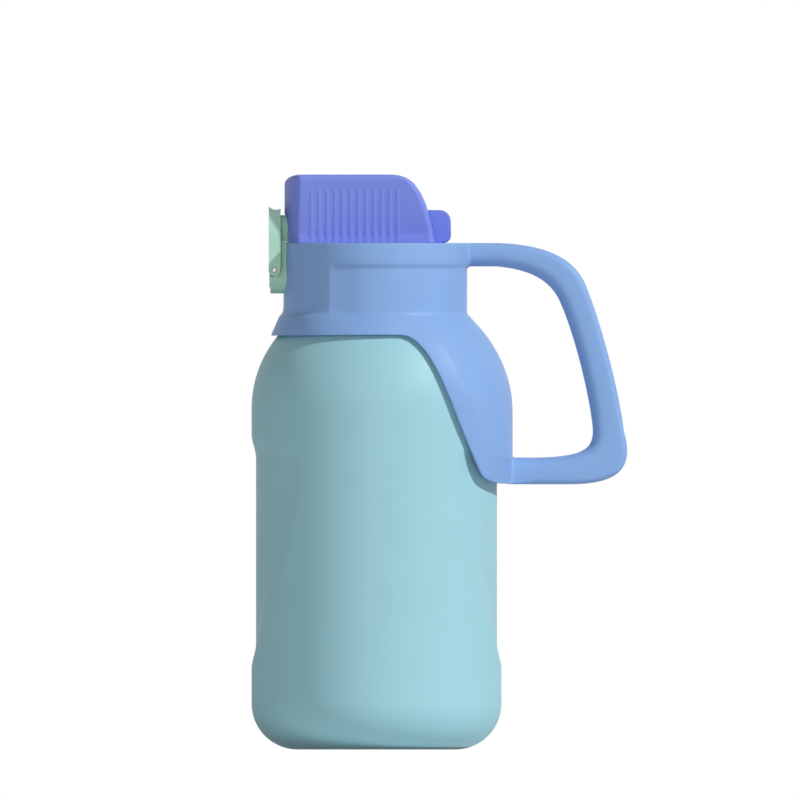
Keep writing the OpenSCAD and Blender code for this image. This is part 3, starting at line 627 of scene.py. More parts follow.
# Handle sleeve: collar ring, dome with a chamfered edge, and tongue, as one skin
sleeve = {
    "gap": 0.35,
    "rise": 5.6,
    "topDrop": (165, 210, 1.15),  # the dome leans in towards the ring, between these heights
    "latchRise": 6.1,             # the crease stands higher beside the latch
    "riseAngles": (100, 140),
    "tongueEdge": (5.3, 0.5),     # height of the edge and its rounding
    "domeEdge": (2.9, 0.8),
    "latchEdge": (2.5, 0.8),
    "edgeTurns": (8, 38, 62, 80),  # angles where it turns from tongue to dome, and to the latch side
    "undercut": 3.2,              # the underside of the edge runs back by this much
    "creaseRound": 12.0,
    "edgeZ": 206.25,
    "creaseZ": 216.6,
    "ringR": 46.5,
    "boreR": 43.6,
    "rimRound": 0.7,
    "panelDepth": 1.2,
    "panelHigh": 241.75,
    "panelLeftX": -23.6,
    "panelCorner": 3.0,
    "panelSoft": 1.6,
    "panelRamp": 10.0,
    "flareR": 34.0,
    "flareTop": 223.5,
    "flareFade": (-6, 8),         # the flare ends over this distance at the panel's edge
    "blend": (2.0, 1.6),          # fillets between dome and ring, at the panel and beside the latch
    "blendAngles": (115, 130),
    "ringFrom": 0.9,              # share of the edge band from which the ring counts
    "throatR": 43.0,
    "throatLow": 214.8,
    "ledgeR": 38.4,
    "ledge": (219.0, 223.0),
    "innerTop": 213.0,
    "footZ": 132.2,
    "domeTop": 217.7,
    "rimStart": 249.5,
    "boreRows": (240, 231),
    "levelSteps": 44,
    "tongueSteps": 8,
    "domeSteps": 18,
    "innerSteps": 8,
    "panelColumns": (-3, -2, -1.2, -0.6, -0.3, 0, 0.3, 0.6, 1.2, 2),  # distances from the panel's edge
}
edgePath = [
    [(11.75, sleeve["edgeZ"]), (23, sleeve["edgeZ"]), (30.3, 188.5), (36.75, 173.25)],
    [(36.75, 173.25), (40.5, 163.3), (46.5, 149), (51.1, 139.2)],
    [(51.1, 139.2), (53.4, 134.0), (54.6, 134.1), (61, 132.6)],
]
creasePath = [
    [(14, sleeve["creaseZ"]), (29, sleeve["creaseZ"]), (38, 195), (46.3, 176)],
    [(46.3, 176), (50.5, 166.5), (54, 155.5), (59, 149)],
    [(59, 149), (61, 146.8), (63.5, 145.8), (66, 145.6)],
]
pathSteps = (20, 16, 12)
ringRows = [218.2, 218.8, 219.6, 220.8, 222.5, 224.5, 227, 230, 233.5, 237, 238.7, 239.8, 240.6,
            241.1, 241.4, 241.75, 242.1, 242.5, 243.4, 246, sleeve["rimStart"]]
panelAngle = acos(sleeve["panelLeftX"] / sleeve["ringR"])


def sideAngle(point, grow):  # angle from +X at which a point of the side view lies on the grown bottle
    return acos(min(1, point[0] / bottleR(point[1], grow)))


def creaseRise(angle, z):
    low, high = (radians(a) for a in sleeve["riseAngles"])
    beside = smoothStep(low, high, abs(angle))
    first, last, drop = sleeve["topDrop"]
    rise = sleeve["rise"] - drop * smoothStep(first, last, z)
    return rise + (sleeve["latchRise"] - rise) * beside


def edgeShape(angle):  # height and rounding of the edge at an angle
    first, second, third, fourth = (radians(a) for a in sleeve["edgeTurns"])
    tongue, dome, latch = (Vector(sleeve[key]) for key in ("tongueEdge", "domeEdge", "latchEdge"))
    front = tongue.lerp(dome, smoothStep(first, second, abs(angle)))
    return front.lerp(latch, smoothStep(third, fourth, abs(angle)))


def ringR(angle, z):  # the collar ring with its flare beside the latch and its recessed panel
    beside = (panelAngle - abs(angle)) * sleeve["ringR"]
    below = sleeve["panelHigh"] - z
    corner = sleeve["panelCorner"]
    inward = min(beside, below)
    if beside < corner and below < corner:
        inward = corner - Vector((corner - beside, corner - below)).length
    ramp = max(0, min(1, beside / sleeve["panelRamp"]))
    depth = sleeve["panelDepth"] * (1 - (1 - ramp) ** 2)
    depth *= smoothStep(-sleeve["panelSoft"], sleeve["panelSoft"], inward)
    drop = max(0, sleeve["flareTop"] - z)
    flare = sleeve["flareR"] - sqrt(max(1, sleeve["flareR"] ** 2 - drop ** 2))
    return sleeve["ringR"] + flare * (1 - smoothStep(*sleeve["flareFade"], beside)) - depth


def sleeveR(angle, z):  # dome and ring together, with a fillet between them
    low, high = (radians(a) for a in sleeve["blendAngles"])
    atPanel, atLatch = sleeve["blend"]
    blend = atPanel + (atLatch - atPanel) * smoothStep(low, high, abs(angle))
    return softMax(bottleR(z, creaseRise(angle, z)), ringR(angle, z), blend)


def levelShares():  # shares of the level stretch, closer together at the panel's edge
    span = pi - sideAngle(creasePath[0][0], sleeve["rise"])
    atPanel = (pi - panelAngle) / span
    close = [atPanel + d / sleeve["ringR"] / span for d in sleeve["panelColumns"]]
    steps = sleeve["levelSteps"]
    even = [k / steps for k in range(steps + 1)]
    return sorted(close + [e for e in even if min(abs(e - c) for c in close) > 0.4 / steps])


edgePoints = chain(edgePath, pathSteps)
creasePoints = chain(creasePath, pathSteps)
edgeStart = sideAngle(edgePath[0][0], sleeve["latchEdge"][0])
creaseStart = sideAngle(creasePath[0][0], sleeve["rise"])
# A column holds the angle and height of the edge, and those of the crease
frontColumns = [(pi - t * (pi - edgeStart), sleeve["edgeZ"],
                 pi - t * (pi - creaseStart), sleeve["creaseZ"]) for t in levelShares()]
for e, c in zip(edgePoints, creasePoints):
    near = sideAngle(e, sleeve["latchEdge"][0])
    frontColumns.append((sideAngle(e, edgeShape(near)[0]), e.y, sideAngle(c, sleeve["rise"]), c.y))
edgeFoot, creaseFoot = frontColumns[-1][:2], frontColumns[-1][2:]
for k in range(1, sleeve["tongueSteps"] + 1):
    left = 1 - k / sleeve["tongueSteps"]
    frontColumns.append((edgeFoot[0] * left, sleeve["footZ"] + (edgeFoot[1] - sleeve["footZ"]) * left,
                         creaseFoot[0] * left, creaseFoot[1]))
sleeveColumns = frontColumns + [(-e, ez, -c, cz) for e, ez, c, cz in frontColumns[-2:0:-1]]


def sleeveSection(column):  # a closed section: up the outer face, over the rim and down the inner face
    edgeA, edgeZ, creaseA, creaseZ = column
    edgeHigh, edgeSoft = edgeShape(edgeA)
    low = Vector((bottleR(edgeZ, edgeHigh) * edgeA, edgeZ))
    high = Vector((bottleR(creaseZ, sleeve["rise"]) * creaseA, creaseZ))
    length = (high - low).length
    rise = creaseRise(creaseA, creaseZ)
    band = rounded([(sleeve["undercut"], sleeve["gap"]), (0, edgeHigh, edgeSoft),
                    (length, rise, sleeve["creaseRound"]), (length + 1, rise)], steps=6)
    points = []
    for along, grow in band[:-1]:  # the last point only gives the dome's direction
        t = min(1, along / length)
        z = edgeZ + (creaseZ - edgeZ) * t + max(0, along - length)
        ring = ringR(creaseA, z) if t > sleeve["ringFrom"] else 0
        r = softMax(bottleR(z, grow), ring, sleeve["blend"][1])
        points.append((r, edgeA + (creaseA - edgeA) * t, z))
    top = points[-1][2]
    domeRows = [top + (sleeve["domeTop"] - top) * k / sleeve["domeSteps"]
                for k in range(1, sleeve["domeSteps"] + 1)]
    points += [(sleeveR(creaseA, z), creaseA, z) for z in domeRows + ringRows]
    ringOut, bore, soft = sleeve["ringR"], sleeve["boreR"], sleeve["rimRound"]
    rim = rounded([(ringOut, sleeve["rimStart"]), (ringOut, ringTop, soft),
                   (bore, ringTop, soft), (bore, sleeve["rimStart"])])
    ledgeLow, ledgeTop = sleeve["ledge"]
    innerFace = rim[1:] + [Vector((bore, z)) for z in (*sleeve["boreRows"], ledgeTop)]
    innerFace += [Vector((sleeve["ledgeR"], z)) for z in (ledgeTop, ledgeLow)]
    innerFace += [Vector((sleeve["throatR"], z)) for z in (ledgeLow, sleeve["throatLow"])]
    points += [(p.x, creaseA, p.y) for p in innerFace]
    back = sleeve["undercut"] / length
    backZ = edgeZ + (creaseZ - edgeZ) * back
    for k in range(sleeve["innerSteps"] + 1):
        t = k / sleeve["innerSteps"]
        z = sleeve["innerTop"] + (backZ - sleeve["innerTop"]) * t
        points.append((bottleR(z, sleeve["gap"]), creaseA + (edgeA - creaseA) * t * (1 - back), z))
    return [Vector((r * cos(a), -r * sin(a), z)) for r, a, z in points[1:]]


sections = [sleeveSection(column) for column in sleeveColumns]
collar = loft(sections + sections[:1])

# D-shaped handle, swept between its outer and inner edge, with fillets where the arms meet the sleeve
handle = {
    "thick": 19.0,
    "innerRound": 6.2,
    "outerRound": 3.2,
    "rootRound": 1.0,        # outer edges are sharper where they run into the sleeve
    "fillet": 1.9,
    "filletTurns": (0, 12, 24, 36, 48, 60, 72, 90),
    "sunk": 0.6,             # the arms run on this far inside the sleeve
    "tongueSunk": 0.3,       # and the lower one starts this far inside the tongue's face
    "middleZ": 200.0,        # the upper arm meets the ring above this height
    "topZ": (253.25, 241.5),
    "footZ": (132.6, 146.0),
    "upperStart": 60.0,
    "lowerEnd": 82.0,
    "cornerSteps": 6,
    "armSteps": 6,
}
handleOuter = [
    [(handle["upperStart"], handle["topZ"][0]), (83, 252.6), (98, 246.8), (104.3, 233)],
    [(104.3, 233), (111.4, 216), (121, 182), (123.75, 159)],
    [(123.75, 159), (129.2, 140.6), (121, 132.9), (98, 132.6)],
]
handleInner = [
    [(handle["upperStart"], handle["topZ"][1]), (79, 239.9), (87.6, 233.2), (91.75, 223.75)],
    [(91.75, 223.75), (98.5, 209), (105.8, 180), (107.75, 163.75)],
    [(107.75, 163.75), (109.6, 150.6), (104.6, 147.6), (86.75, 146.2)],
]
handleSteps = (22, 16, 24)


def handleLoop(outer, inner, flare=0.0, outerRound=handle["outerRound"]):  # a section with round corners
    outer, inner = Vector(outer), Vector(inner)
    across = (outer - inner).normalized()
    inner = inner - across * flare
    wide = (outer - inner).length
    middle = (outer + inner) / 2
    halfT = handle["thick"] / 2 + flare
    ro, ri = outerRound, handle["innerRound"] + flare
    corners = ((wide / 2 - ro, halfT - ro, ro, 0), (ri - wide / 2, halfT - ri, ri, 90),
               (ri - wide / 2, ri - halfT, ri, 180), (wide / 2 - ro, ro - halfT, ro, 270))
    points = []
    for u, v, r, first in corners:
        for p in arc((u, v), r, first, first + 90, handle["cornerSteps"]):
            spot = middle + across * p.x
            points.append(Vector((spot.x, p.y, spot.y)))
    return points


def sleeveX(p):  # where the sleeve's face lies at a point's side offset and height
    if p.z > handle["middleZ"]:
        return sqrt(ringR(0, p.z) ** 2 - p.y ** 2)
    tongueR = bottle["bodyR"] + sleeve["rise"] - handle["tongueSunk"]
    return sqrt(tongueR ** 2 - p.y ** 2)


def armLoops(heights, station):  # from inside the sleeve out to a flat station
    fillet = handle["fillet"]
    ends = (station, heights[0]), (station, heights[1])
    loops = []
    for d in [-handle["sunk"]] + [fillet * (1 - cos(radians(a))) for a in handle["filletTurns"]]:
        flare = fillet - sqrt(fillet ** 2 - (fillet - max(0, d)) ** 2)
        loop = handleLoop(*ends, flare, handle["rootRound"])
        for p in loop:
            p.x = sleeveX(p) + d
        loops.append(loop)
    root = loops[-1]
    for k in range(1, handle["armSteps"]):
        t = k / handle["armSteps"]
        growth = (handle["outerRound"] - handle["rootRound"]) * smoothStep(0, 1, t)
        loop = handleLoop(*ends, 0, handle["rootRound"] + growth)
        for p, q in zip(loop, root):
            p.x = q.x + (station - q.x) * t
        loops.append(loop)
    return loops


outerEdge = [Vector(handleOuter[0][0])] + chain(handleOuter, handleSteps)
innerEdge = [Vector(handleInner[0][0])] + chain(handleInner, handleSteps)
handleLoops = armLoops(handle["topZ"], handle["upperStart"])
handleLoops += [handleLoop(o, i) for o, i in zip(outerEdge, innerEdge)]
handleLoops += armLoops(handle["footZ"], handle["lowerEnd"])[::-1]
grip = loft(handleLoops)
bmesh.ops.holes_fill(grip, edges=openEdges(grip))
finishPiece("handleSleeve", combined(collar, [grip], "UNION"), sleevePlastic, "jug", "sleeve_plastic",
            "handle_sleeve", sharp=42)

# Lid: disc with a threaded skirt and two hinge lugs
lid = {
    "discR": lidHigh.y,
    "discLow": 249.25,
    "top": ringTop + 0.03,
    "skirtR": (39.2, 41.8),
    "round": 0.5,
    "holeR": 11.6,
    "holeCut": (240.0, 260.0),  # heights of the cutter for the spout's hole
    "lugFoot": [(25.0, -1.0), (32.6, -1.0), (32.8, 0.0), (37.4, 0.0, 3.8)],  # from the collar's rim
    "lugHead": [(37.0, 5.4), (25.0, 1.2)],  # X and rounding of the upper corners
    "lugY": (6.0, 10.4),
    "lugEdge": 0.8,
    "bore": 9.4,
}
pin = {"r": 1.5, "half": 9.3, "soft": 0.2, "play": 0.05}
spoutX = (spoutLow.x + spoutHigh.x) / 2


def atSpout(bm):  # moved from the jug's axis to the spout's
    return turned(bm, 0, "Z", (spoutX, 0, 0))


skirtIn, skirtOut = lid["skirtR"]
discR, discLow, lidSoft = lid["discR"], lid["discLow"], lid["round"]
lidProfile = rounded([(0, lid["top"]), (discR, lid["top"], lidSoft), (discR, discLow, lidSoft),
                      (skirtOut, discLow, lidSoft), (skirtOut, lidLow.z, lidSoft),
                      (skirtIn, lidLow.z, lidSoft), (skirtIn, discLow, lidSoft), (0, discLow)])
lugOutline = rounded([(x, ringTop + z, *soft) for x, z, *soft in lid["lugFoot"]]
                     + [(x, lidHigh.z, soft) for x, soft in lid["lugHead"]])
lugIn, lugOut = lid["lugY"]
lugs = [prism(lugOutline, low, high, lid["lugEdge"])
        for low, high in ((-lugOut, -lugIn), (lugIn, lugOut))]
lidShape = combined(spun(lidProfile, closed=False), lugs, "UNION")
spoutHole = atSpout(cylinder(lid["holeR"], *lid["holeCut"], steps=96))
lidShape = combined(lidShape, [spoutHole, acrossRod(pin["r"], lid["bore"], hingeAt)], "DIFFERENCE")
finishPiece("lidBase", lidShape, lidPlastic, "lid", "lid_plastic", "lid_base", flat=True)
hingePin = acrossRod(pin["r"], pin["half"], hingeAt, pin["soft"])
finishPiece("hingePin", hingePin, steel, "lid", "steel", "hinge_pin")

# Screw threads of the neck and of the lid's skirt, half a pitch apart
thread = {
    "pitch": 5.0,
    "turns": 2.2,
    "low": 231.0,
    "half": 1.3,
    "crest": 0.45,
    "neck": 0.8,
    "skirt": 0.7,
    "sunk": 0.1,
    "fade": (1.0, 1.5),  # the ends run out over this height, below and above their middle
    "stepsPerTurn": 150,
}


def threadRidge(name, wallR, height, low, material, body, slot):
    sunkR = wallR - thread["sunk"] * (1 if height > 0 else -1)
    crestR, half, crest = wallR + height, thread["half"], thread["crest"]
    turns, rise = thread["turns"], thread["pitch"] * thread["turns"]
    profile = [(sunkR, low - half), (crestR, low - crest), (crestR, low + crest), (sunkR, low + half)]
    ridge = spun(profile, round(thread["stepsPerTurn"] * turns), True, turns, rise)
    bmesh.ops.holes_fill(ridge, edges=openEdges(ridge))
    high = low + rise
    outer, inner = thread["fade"]
    for v in ridge.verts:
        r = v.co.xy.length
        fadeIn = smoothStep(low - outer, low + inner, v.co.z)
        fadeOut = 1 - smoothStep(high - inner, high + outer, v.co.z)
        v.co.xy *= (sunkR + (r - sunkR) * fadeIn * fadeOut) / r
    finishPiece(name, ridge, material, body, slot)


threadRidge("neckThread", bottle["neckR"], thread["neck"], thread["low"],
            shellCoat, "jug", "shell_coat")
threadRidge("lidThread", skirtIn, -thread["skirt"], thread["low"] + thread["pitch"] / 2,
            lidPlastic, "lid", "lid_plastic")

# Drinking spout with a rounded lip, and the soft rings of the lid
spout = {
    "bore": 9.2,
    "tubeR": 11.5,
    "flangeR": spoutHigh.y,
    "flangeTop": 248.05,
    "lip": 1.1,
    "root": 0.3,
    "round": 0.5,
}
spoutProfile = rounded([(spout["bore"], spoutLow.z, spout["round"]),
                        (spout["flangeR"], spoutLow.z, spout["round"]),
                        (spout["flangeR"], spout["flangeTop"], spout["round"]),
                        (spout["tubeR"], spout["flangeTop"], spout["root"]),
                        (spout["tubeR"], spoutHigh.z, spout["lip"]),
                        (spout["bore"], spoutHigh.z, spout["lip"])])
finishPiece("drinkingSpout", atSpout(spun(spoutProfile, 96)), spoutPlastic, "lid", "spout_plastic",
            "drinking_spout")
seals = {"round": 0.4, "mouthBoreR": 35.4}


def softRing(name, node, boreR, x, body):
    low, high = nodeBox(node)
    outR, soft = high.y, seals["round"]
    profile = rounded([(boreR, low.z, soft), (outR, low.z, soft),
                       (outR, high.z, soft), (boreR, high.z, soft)])
    finishPiece(name, turned(spun(profile, 96), 0, "Z", (x, 0, 0)), silicone, body, "silicone", node)


softRing("spoutGasket", "spout_gasket", spout["tubeR"], spoutX, "lid")
softRing("mouthSeal", "mouth_seal", seals["mouthBoreR"], 0, "lid")

# Flip cap: lofted shell with a curved back, soft edges and side ribs
cap = {
    "leftR": -capLow.x,
    "endR": (28.0, 0.17),     # plan radius of the end over the latch, and its growth with the height
    "endSteps": 7,
    "waist": (17.78, 258.1),  # half width at the crease above the foot, and its height
    "lean": (0.10, 0.10),     # how far the sides lean out above and below the crease
    "low": ringTop + 0.04,
    "high": capHigh.z,
    "wall": 2.2,
    "footRound": (0.2, 0.06),  # size of the foot's soft edge, and how far its middle is in and up
    "nose": (8.0, 5.0),
    "noseBlend": (0.02, 2.0),  # fillets between the nose and the end, below and at the top
    "edge": 2.5,
    "roofSteps": 10,
    "levels": (262, 266, 270, 274, 278),
    "innerLevels": (262, 270, 278),
    "leftCorner": 3.2,
    "leastCorner": 1.0,       # on the inside
    "leftSpan": 4.2,          # room for that corner
    "backCorner": 2.6,
    "backBow": (0.8, 0.6),    # how far the back curves in at its corners, and the share that is flat
    "bowShares": (1, 0.85, 0.72),
    "backSink": 0.3,          # share of the wall by which the inside of the back moves down
    "back": [(6.5, 287.5), (17.5, 287.5), (24.5, 282.5), (29.4, 253.25)],
    "cavityLeft": -41.5,
    "ribs": 12,
    "ribR": 1.1,
    "ribWide": 1.5,           # they are wider than round
    "ribRise": 0.25,          # height of the ribs over the sides
    "ribStraight": 261.4,     # below this height they run straight down and bridge the crease
    "ribX": -32.6,
    "ribPitch": 3.92,
    "ribTop": 280.75,
    "knuckleR": 4.5,
    "knuckle": 5.6,
    "knuckleEdge": 0.5,
    "web": (12.5, 4.0),       # how far the knuckle's web runs into the cap and up
    "slotR": 11.0,
    "slot": 10.8,
    "boss": (10.0, 12.3, 275.0, 286.4),
    "bossRounds": (0.4, 0.6),
}


def capBackX(z):  # where the curved back lies at a height
    low, high = 0.0, 1.0
    for _ in range(40):
        t = (low + high) / 2
        if bezier(cap["back"], t).y > z:
            low = t
        else:
            high = t
    return bezier(cap["back"], low).x


def quarterIn(over, depth, height):  # how far an elliptical edge is in at a height over its start
    up = max(0, min(1, over / height))
    return depth * (1 - sqrt(1 - up * up))


def capHalfW(z):  # half of the cap's width at a height
    half, crease = cap["waist"]
    above, below = cap["lean"]
    return half + above * max(0, z - crease) + below * max(0, crease - z)


def capLoop(z, inset, leftLimit=-99.0):  # plan outline of the cap at a height
    roof = cap["high"] - inset
    noseIn = quarterIn(z - roof + cap["nose"][1], *cap["nose"])
    leftX = -cap["leftR"] + inset + noseIn
    halfW = capHalfW(z) - inset - quarterIn(z - roof + cap["edge"], cap["edge"], cap["edge"])
    backX = capBackX(min(z + inset * cap["backSink"], cap["high"])) - inset
    endR = cap["endR"][0] + cap["endR"][1] * max(0, z - cap["waist"][1])
    endX = endR - cap["leftR"]
    least, most = cap["noseBlend"]
    blend = least + most * min(1, noseIn / most)
    left = []
    steps = cap["endSteps"]
    for y in [(cap["leftSpan"] - halfW) * k / steps for k in range(steps + 1)] + [-halfW]:
        endAt = endX - sqrt((endR - inset) ** 2 - y ** 2)
        left.append((max(leftLimit, softMax(endAt, leftX, blend)), y))
    bow, flat = cap["backBow"]
    back = [(backX - bow * ((t - flat) / (1 - flat)) ** 2, -halfW * t) for t in (*cap["bowShares"], flat)]
    back.append((backX, 0))
    left[-1] += (max(cap["leastCorner"], cap["leftCorner"] - inset),)
    back[0] += (cap["backCorner"],)
    half = rounded(left + back, 8)
    loop = half + [Vector((p.x, -p.y)) for p in half[-2:0:-1]]
    return [Vector((p.x, p.y, z)) for p in loop]


def capSkin(loops):  # closed at the roof and open below
    skin = loft(loops)
    top = max(v.co.z for v in skin.verts)
    roofEdges = [e for e in openEdges(skin) if e.verts[0].co.z > top - 0.01]
    bmesh.ops.edgeloop_fill(skin, edges=roofEdges)
    return skin


roofTurns = [sin(radians(90 * k / cap["roofSteps"])) for k in range(1, cap["roofSteps"] + 1)]
capCrease = cap["waist"][1]
noseHigh = cap["nose"][1]
footSoft, footMiddle = cap["footRound"]
outerLevels = [capCrease - 1, capCrease, capCrease + 0.8, *cap["levels"], cap["high"] - noseHigh]
outerLevels += [cap["high"] - noseHigh * (1 - t) for t in roofTurns]
outerLoops = [capLoop(cap["low"], footSoft), capLoop(cap["low"] + footMiddle, footMiddle)]
outerLoops += [capLoop(z, 0) for z in [cap["low"] + footSoft] + outerLevels]
innerHigh = cap["high"] - cap["wall"]
innerLevels = [cap["low"], *cap["innerLevels"]]
innerLevels += [innerHigh - noseHigh * (1 - t) for t in [0] + roofTurns]
innerLoops = [capLoop(z, cap["wall"], cap["cavityLeft"]) for z in innerLevels]
capShape = joined(capSkin(outerLoops), capSkin(innerLoops))
bmesh.ops.bridge_loops(capShape, edges=openEdges(capShape))


def ribAxis(z):  # how far out the middle of a rib lies at a height
    return capHalfW(max(z, cap["ribStraight"])) + cap["ribRise"] - cap["ribR"]


ribFoot = [(0, cap["low"]), (cap["ribR"], cap["low"]), (cap["ribR"], cap["ribStraight"])]
ribProfile = ribFoot + arc((0, cap["ribTop"] - cap["ribR"]), cap["ribR"], 0, 90, 5)
ribs = []
for side in (-1, 1):
    for k in range(cap["ribs"]):
        rib = spun(ribProfile, 32, closed=False)
        for v in rib.verts:
            v.co.x *= cap["ribWide"]
            v.co.y += side * ribAxis(v.co.z)
        ribs.append(turned(rib, 0, "Z", (cap["ribX"] + k * cap["ribPitch"], 0, 0)))
bossIn, bossOut, bossLow, bossHigh = cap["boss"]
bossProfile = rounded([(bossIn, bossLow, cap["bossRounds"][0]), (bossOut, bossLow, cap["bossRounds"][1]),
                       (bossOut, bossHigh), (bossIn, bossHigh)])
boss = atSpout(spun(bossProfile, 64))
hingeSlot = acrossRod(cap["slotR"], cap["slot"], hingeAt, steps=48)
capShape = combined(capShape, [hingeSlot], "DIFFERENCE")
webX = capBackX(hingeAt.z) - cap["web"][0]
webHigh = hingeAt.z + cap["knuckleR"] + cap["web"][1]
hingeOutline = arc((hingeAt.x, hingeAt.z), cap["knuckleR"], -90, 90, 14)
hingeOutline = [Vector((webX, hingeAt.z - cap["knuckleR"]))] + hingeOutline + [Vector((webX, webHigh))]
knuckle = prism(hingeOutline, -cap["knuckle"], cap["knuckle"], cap["knuckleEdge"])
capShape = combined(capShape, [knuckle, boss] + ribs, "UNION")

# Keeper plate set into the cap behind the latch, with the catch that the lever holds
leverGap = 0.02  # the lever lies against the keeper and the bracket
reach = {"left": -60.0, "right": -40.0, "side": 20.0, "low": 220.0, "high": 280.0}  # cutters end out here
lever = {
    "front": leverLow.x + 0.25,
    "back": -47.97,
    "halfW": 12.0,
    "taper": (258.7, 8.3),  # the sides draw in above this height, to this half width at the tip
    "bend": 12.0,           # radius between the straight sides and the drawn-in tip
    "tipRound": 0.1,
    "earR": 2.95,
    "earIn": 9.0,
    "earTop": 243.2,
    "earRise": (2.5, 4.0),  # where the ears run into the back and the front, over the pin
    "boreR": 1.3,
    "scoop": (-50.1, 274.93, 5.03),
    "groove": (5.6, 256.5, -50.6),
    "edge": 0.25,
}
faceX = lever["back"] + leverGap
keeper = {
    "halfW": 9.0,
    "low": 254.03,
    "high": keeperHigh.z,
    "corner": 6.0,
    "footCorner": 0.6,
    "back": -44.0,
    "edge": 0.3,
    "slant": (6.0, 9.8, -43.0),  # half widths of the slanted sides, in front and at this X
    "rootHalf": 7.5,
    "rootX": (-46.0, -43.9),
    "catch": (-48.5, 259.5),
    "catchR": 1.5,
    "catchHalf": 5.0,
    "clear": 0.4,  # room round the plate in the cap
    "recess": (252.03, 0.5, -44.05),  # foot, lower corners and floor of that room
    "slit": (10.6, 260.75, 0.4),  # open gap between plate and cap: half width, top and depth
    "slitX": -43.88,
}
recessLow, recessCorner, recessX = keeper["recess"]
slitHalf, slitTop, slitDeep = keeper["slit"]
recessOutline = archOutline(keeper["halfW"] + keeper["clear"], recessLow,
                            keeper["high"] + keeper["clear"], recessCorner, keeper["corner"])
capCuts = [acrossRod(pin["r"] + pin["play"], reach["side"], hingeAt),
           plateAlongX(recessOutline, reach["left"], recessX),
           block((reach["left"], -slitHalf, reach["low"]), (keeper["slitX"], slitHalf, slitTop))]
capShape = combined(capShape, capCuts, "DIFFERENCE")
finishPiece("flipCap", capShape, capPlastic, "cap", "cap_plastic", "flip_cap", flat=True)

keeperOutline = archOutline(keeper["halfW"], keeper["low"], keeper["high"],
                            keeper["footCorner"], keeper["corner"])
keeperShape = plateAlongX(keeperOutline, faceX, keeper["back"] - slitDeep, keeper["edge"])
slantFront, slantBack, slantX = keeper["slant"]
slantPlan = [(faceX - 1, slantFront), (faceX - 1, reach["side"]),
             (slantX, reach["side"]), (slantX, slantBack)]
slants = []
for side in (-1, 1):
    slant = prism([Vector((x, side * y)) for x, y in slantPlan], reach["low"], reach["high"])
    slants.append(turned(slant, 90, "X"))
keeperShape = combined(keeperShape, slants, "DIFFERENCE")
catchX, catchZ = keeper["catch"]
catchR, catchHalf = keeper["catchR"], keeper["catchHalf"]
catchRoot = block((catchX, -catchHalf, catchZ - catchR), (faceX + 1, catchHalf, catchZ + catchR))
catchNub = prism(arc(keeper["catch"], catchR, 0, 345, 23), -catchHalf, catchHalf)
rootHalf, (rootFront, rootBack) = keeper["rootHalf"], keeper["rootX"]
keeperRoot = block((rootFront, -rootHalf, keeper["low"]), (rootBack, rootHalf, slitTop - 0.05))
keeperShape = combined(keeperShape, [catchRoot, catchNub, keeperRoot], "UNION")
finishPiece("capKeeper", keeperShape, latchPlastic, "cap", "latch_plastic", "cap_keeper", flat=True)

# Latch lever: plate with two ears, a tapered tip and a groove for the catch
scoopX, scoopZ, scoopR = lever["scoop"]
backTurn = -acos((lever["back"] - scoopX) / scoopR) * 180 / pi
frontTurn = -acos((lever["front"] - scoopX) / scoopR) * 180 / pi
pivot = (latchAt.x, latchAt.z)
leverOutline = arc(pivot, lever["earR"], 180, 360, 14)
leverOutline += [Vector((lever["back"], latchAt.z + lever["earRise"][0]))]
leverOutline += arc((scoopX, scoopZ), scoopR, backTurn, frontTurn, 10)
leverOutline += [Vector((lever["front"], latchAt.z + lever["earRise"][1]))]
taperLow, tipHalf = lever["taper"]
leverSide = [(lever["halfW"], reach["low"], lever["tipRound"]), (lever["halfW"], taperLow, lever["bend"]),
             (tipHalf, leverHigh.z, lever["tipRound"])]
leverFront = rounded(leverSide + [(-p[0], *p[1:]) for p in leverSide[::-1]], 8)
leverFront = plateAlongX(leverFront, reach["left"], reach["right"])
leverShape = combined(prism(leverOutline, -reach["side"], reach["side"]), [leverFront], "INTERSECT")
grooveHalf, grooveLow, grooveDeep = lever["groove"]
leverCuts = [block((reach["left"], -lever["earIn"], reach["low"]),
                   (reach["right"], lever["earIn"], lever["earTop"])),
             block((grooveDeep, -grooveHalf, grooveLow), (reach["right"], grooveHalf, reach["high"])),
             acrossRod(lever["boreR"], reach["side"], latchAt)]
leverShape = combined(leverShape, leverCuts, "DIFFERENCE")
finishPiece("latchLever", leverShape, latchPlastic, "lever", "latch_plastic", "latch_lever",
            edge=lever["edge"], flat=True)

# Latch bracket: block on the collar with a knuckle between the lever's ears
bracket = {
    "front": bracketLow.x,
    "stepX": 0.5,
    "stepZ": 231.0,
    "low": bracketLow.z,
    "high": keeper["low"] - 0.03,
    "halfW": 12.3,
    "corner": 9.0,
    "topCorner": 0.8,
    "edge": 0.2,
    "blockTop": 236.35,
    "lipBack": -43.9,         # a lip runs in over the collar's rim
    "plateHalf": 8.2,         # half width of the plate behind the lever
    "plateLean": 0.3,         # the plate is narrower in front and wide at the collar
    "plateBack": -44.0,
    "clear": 0.2,
    "flare": (234.0, 243.0),  # the plate widens into the block between these heights
    "flareRows": (233, 234, 235.5, 237, 238.5, 240, 241.5, 243, 260),
    "seat": 3.05,             # round seat of the lever's ears
    "knuckle": 8.7,
    "knuckleR": 2.55,
    "knuckleEdge": 0.3,
    "knuckleFoot": 232.0,
    "web": (0.5, 0.15),       # the knuckle's web: how far it is in the plate, and below the ears' top
    "boreR": 1.15,
}
latchPin = {"r": 1.1, "half": 12.0, "soft": 0.25}


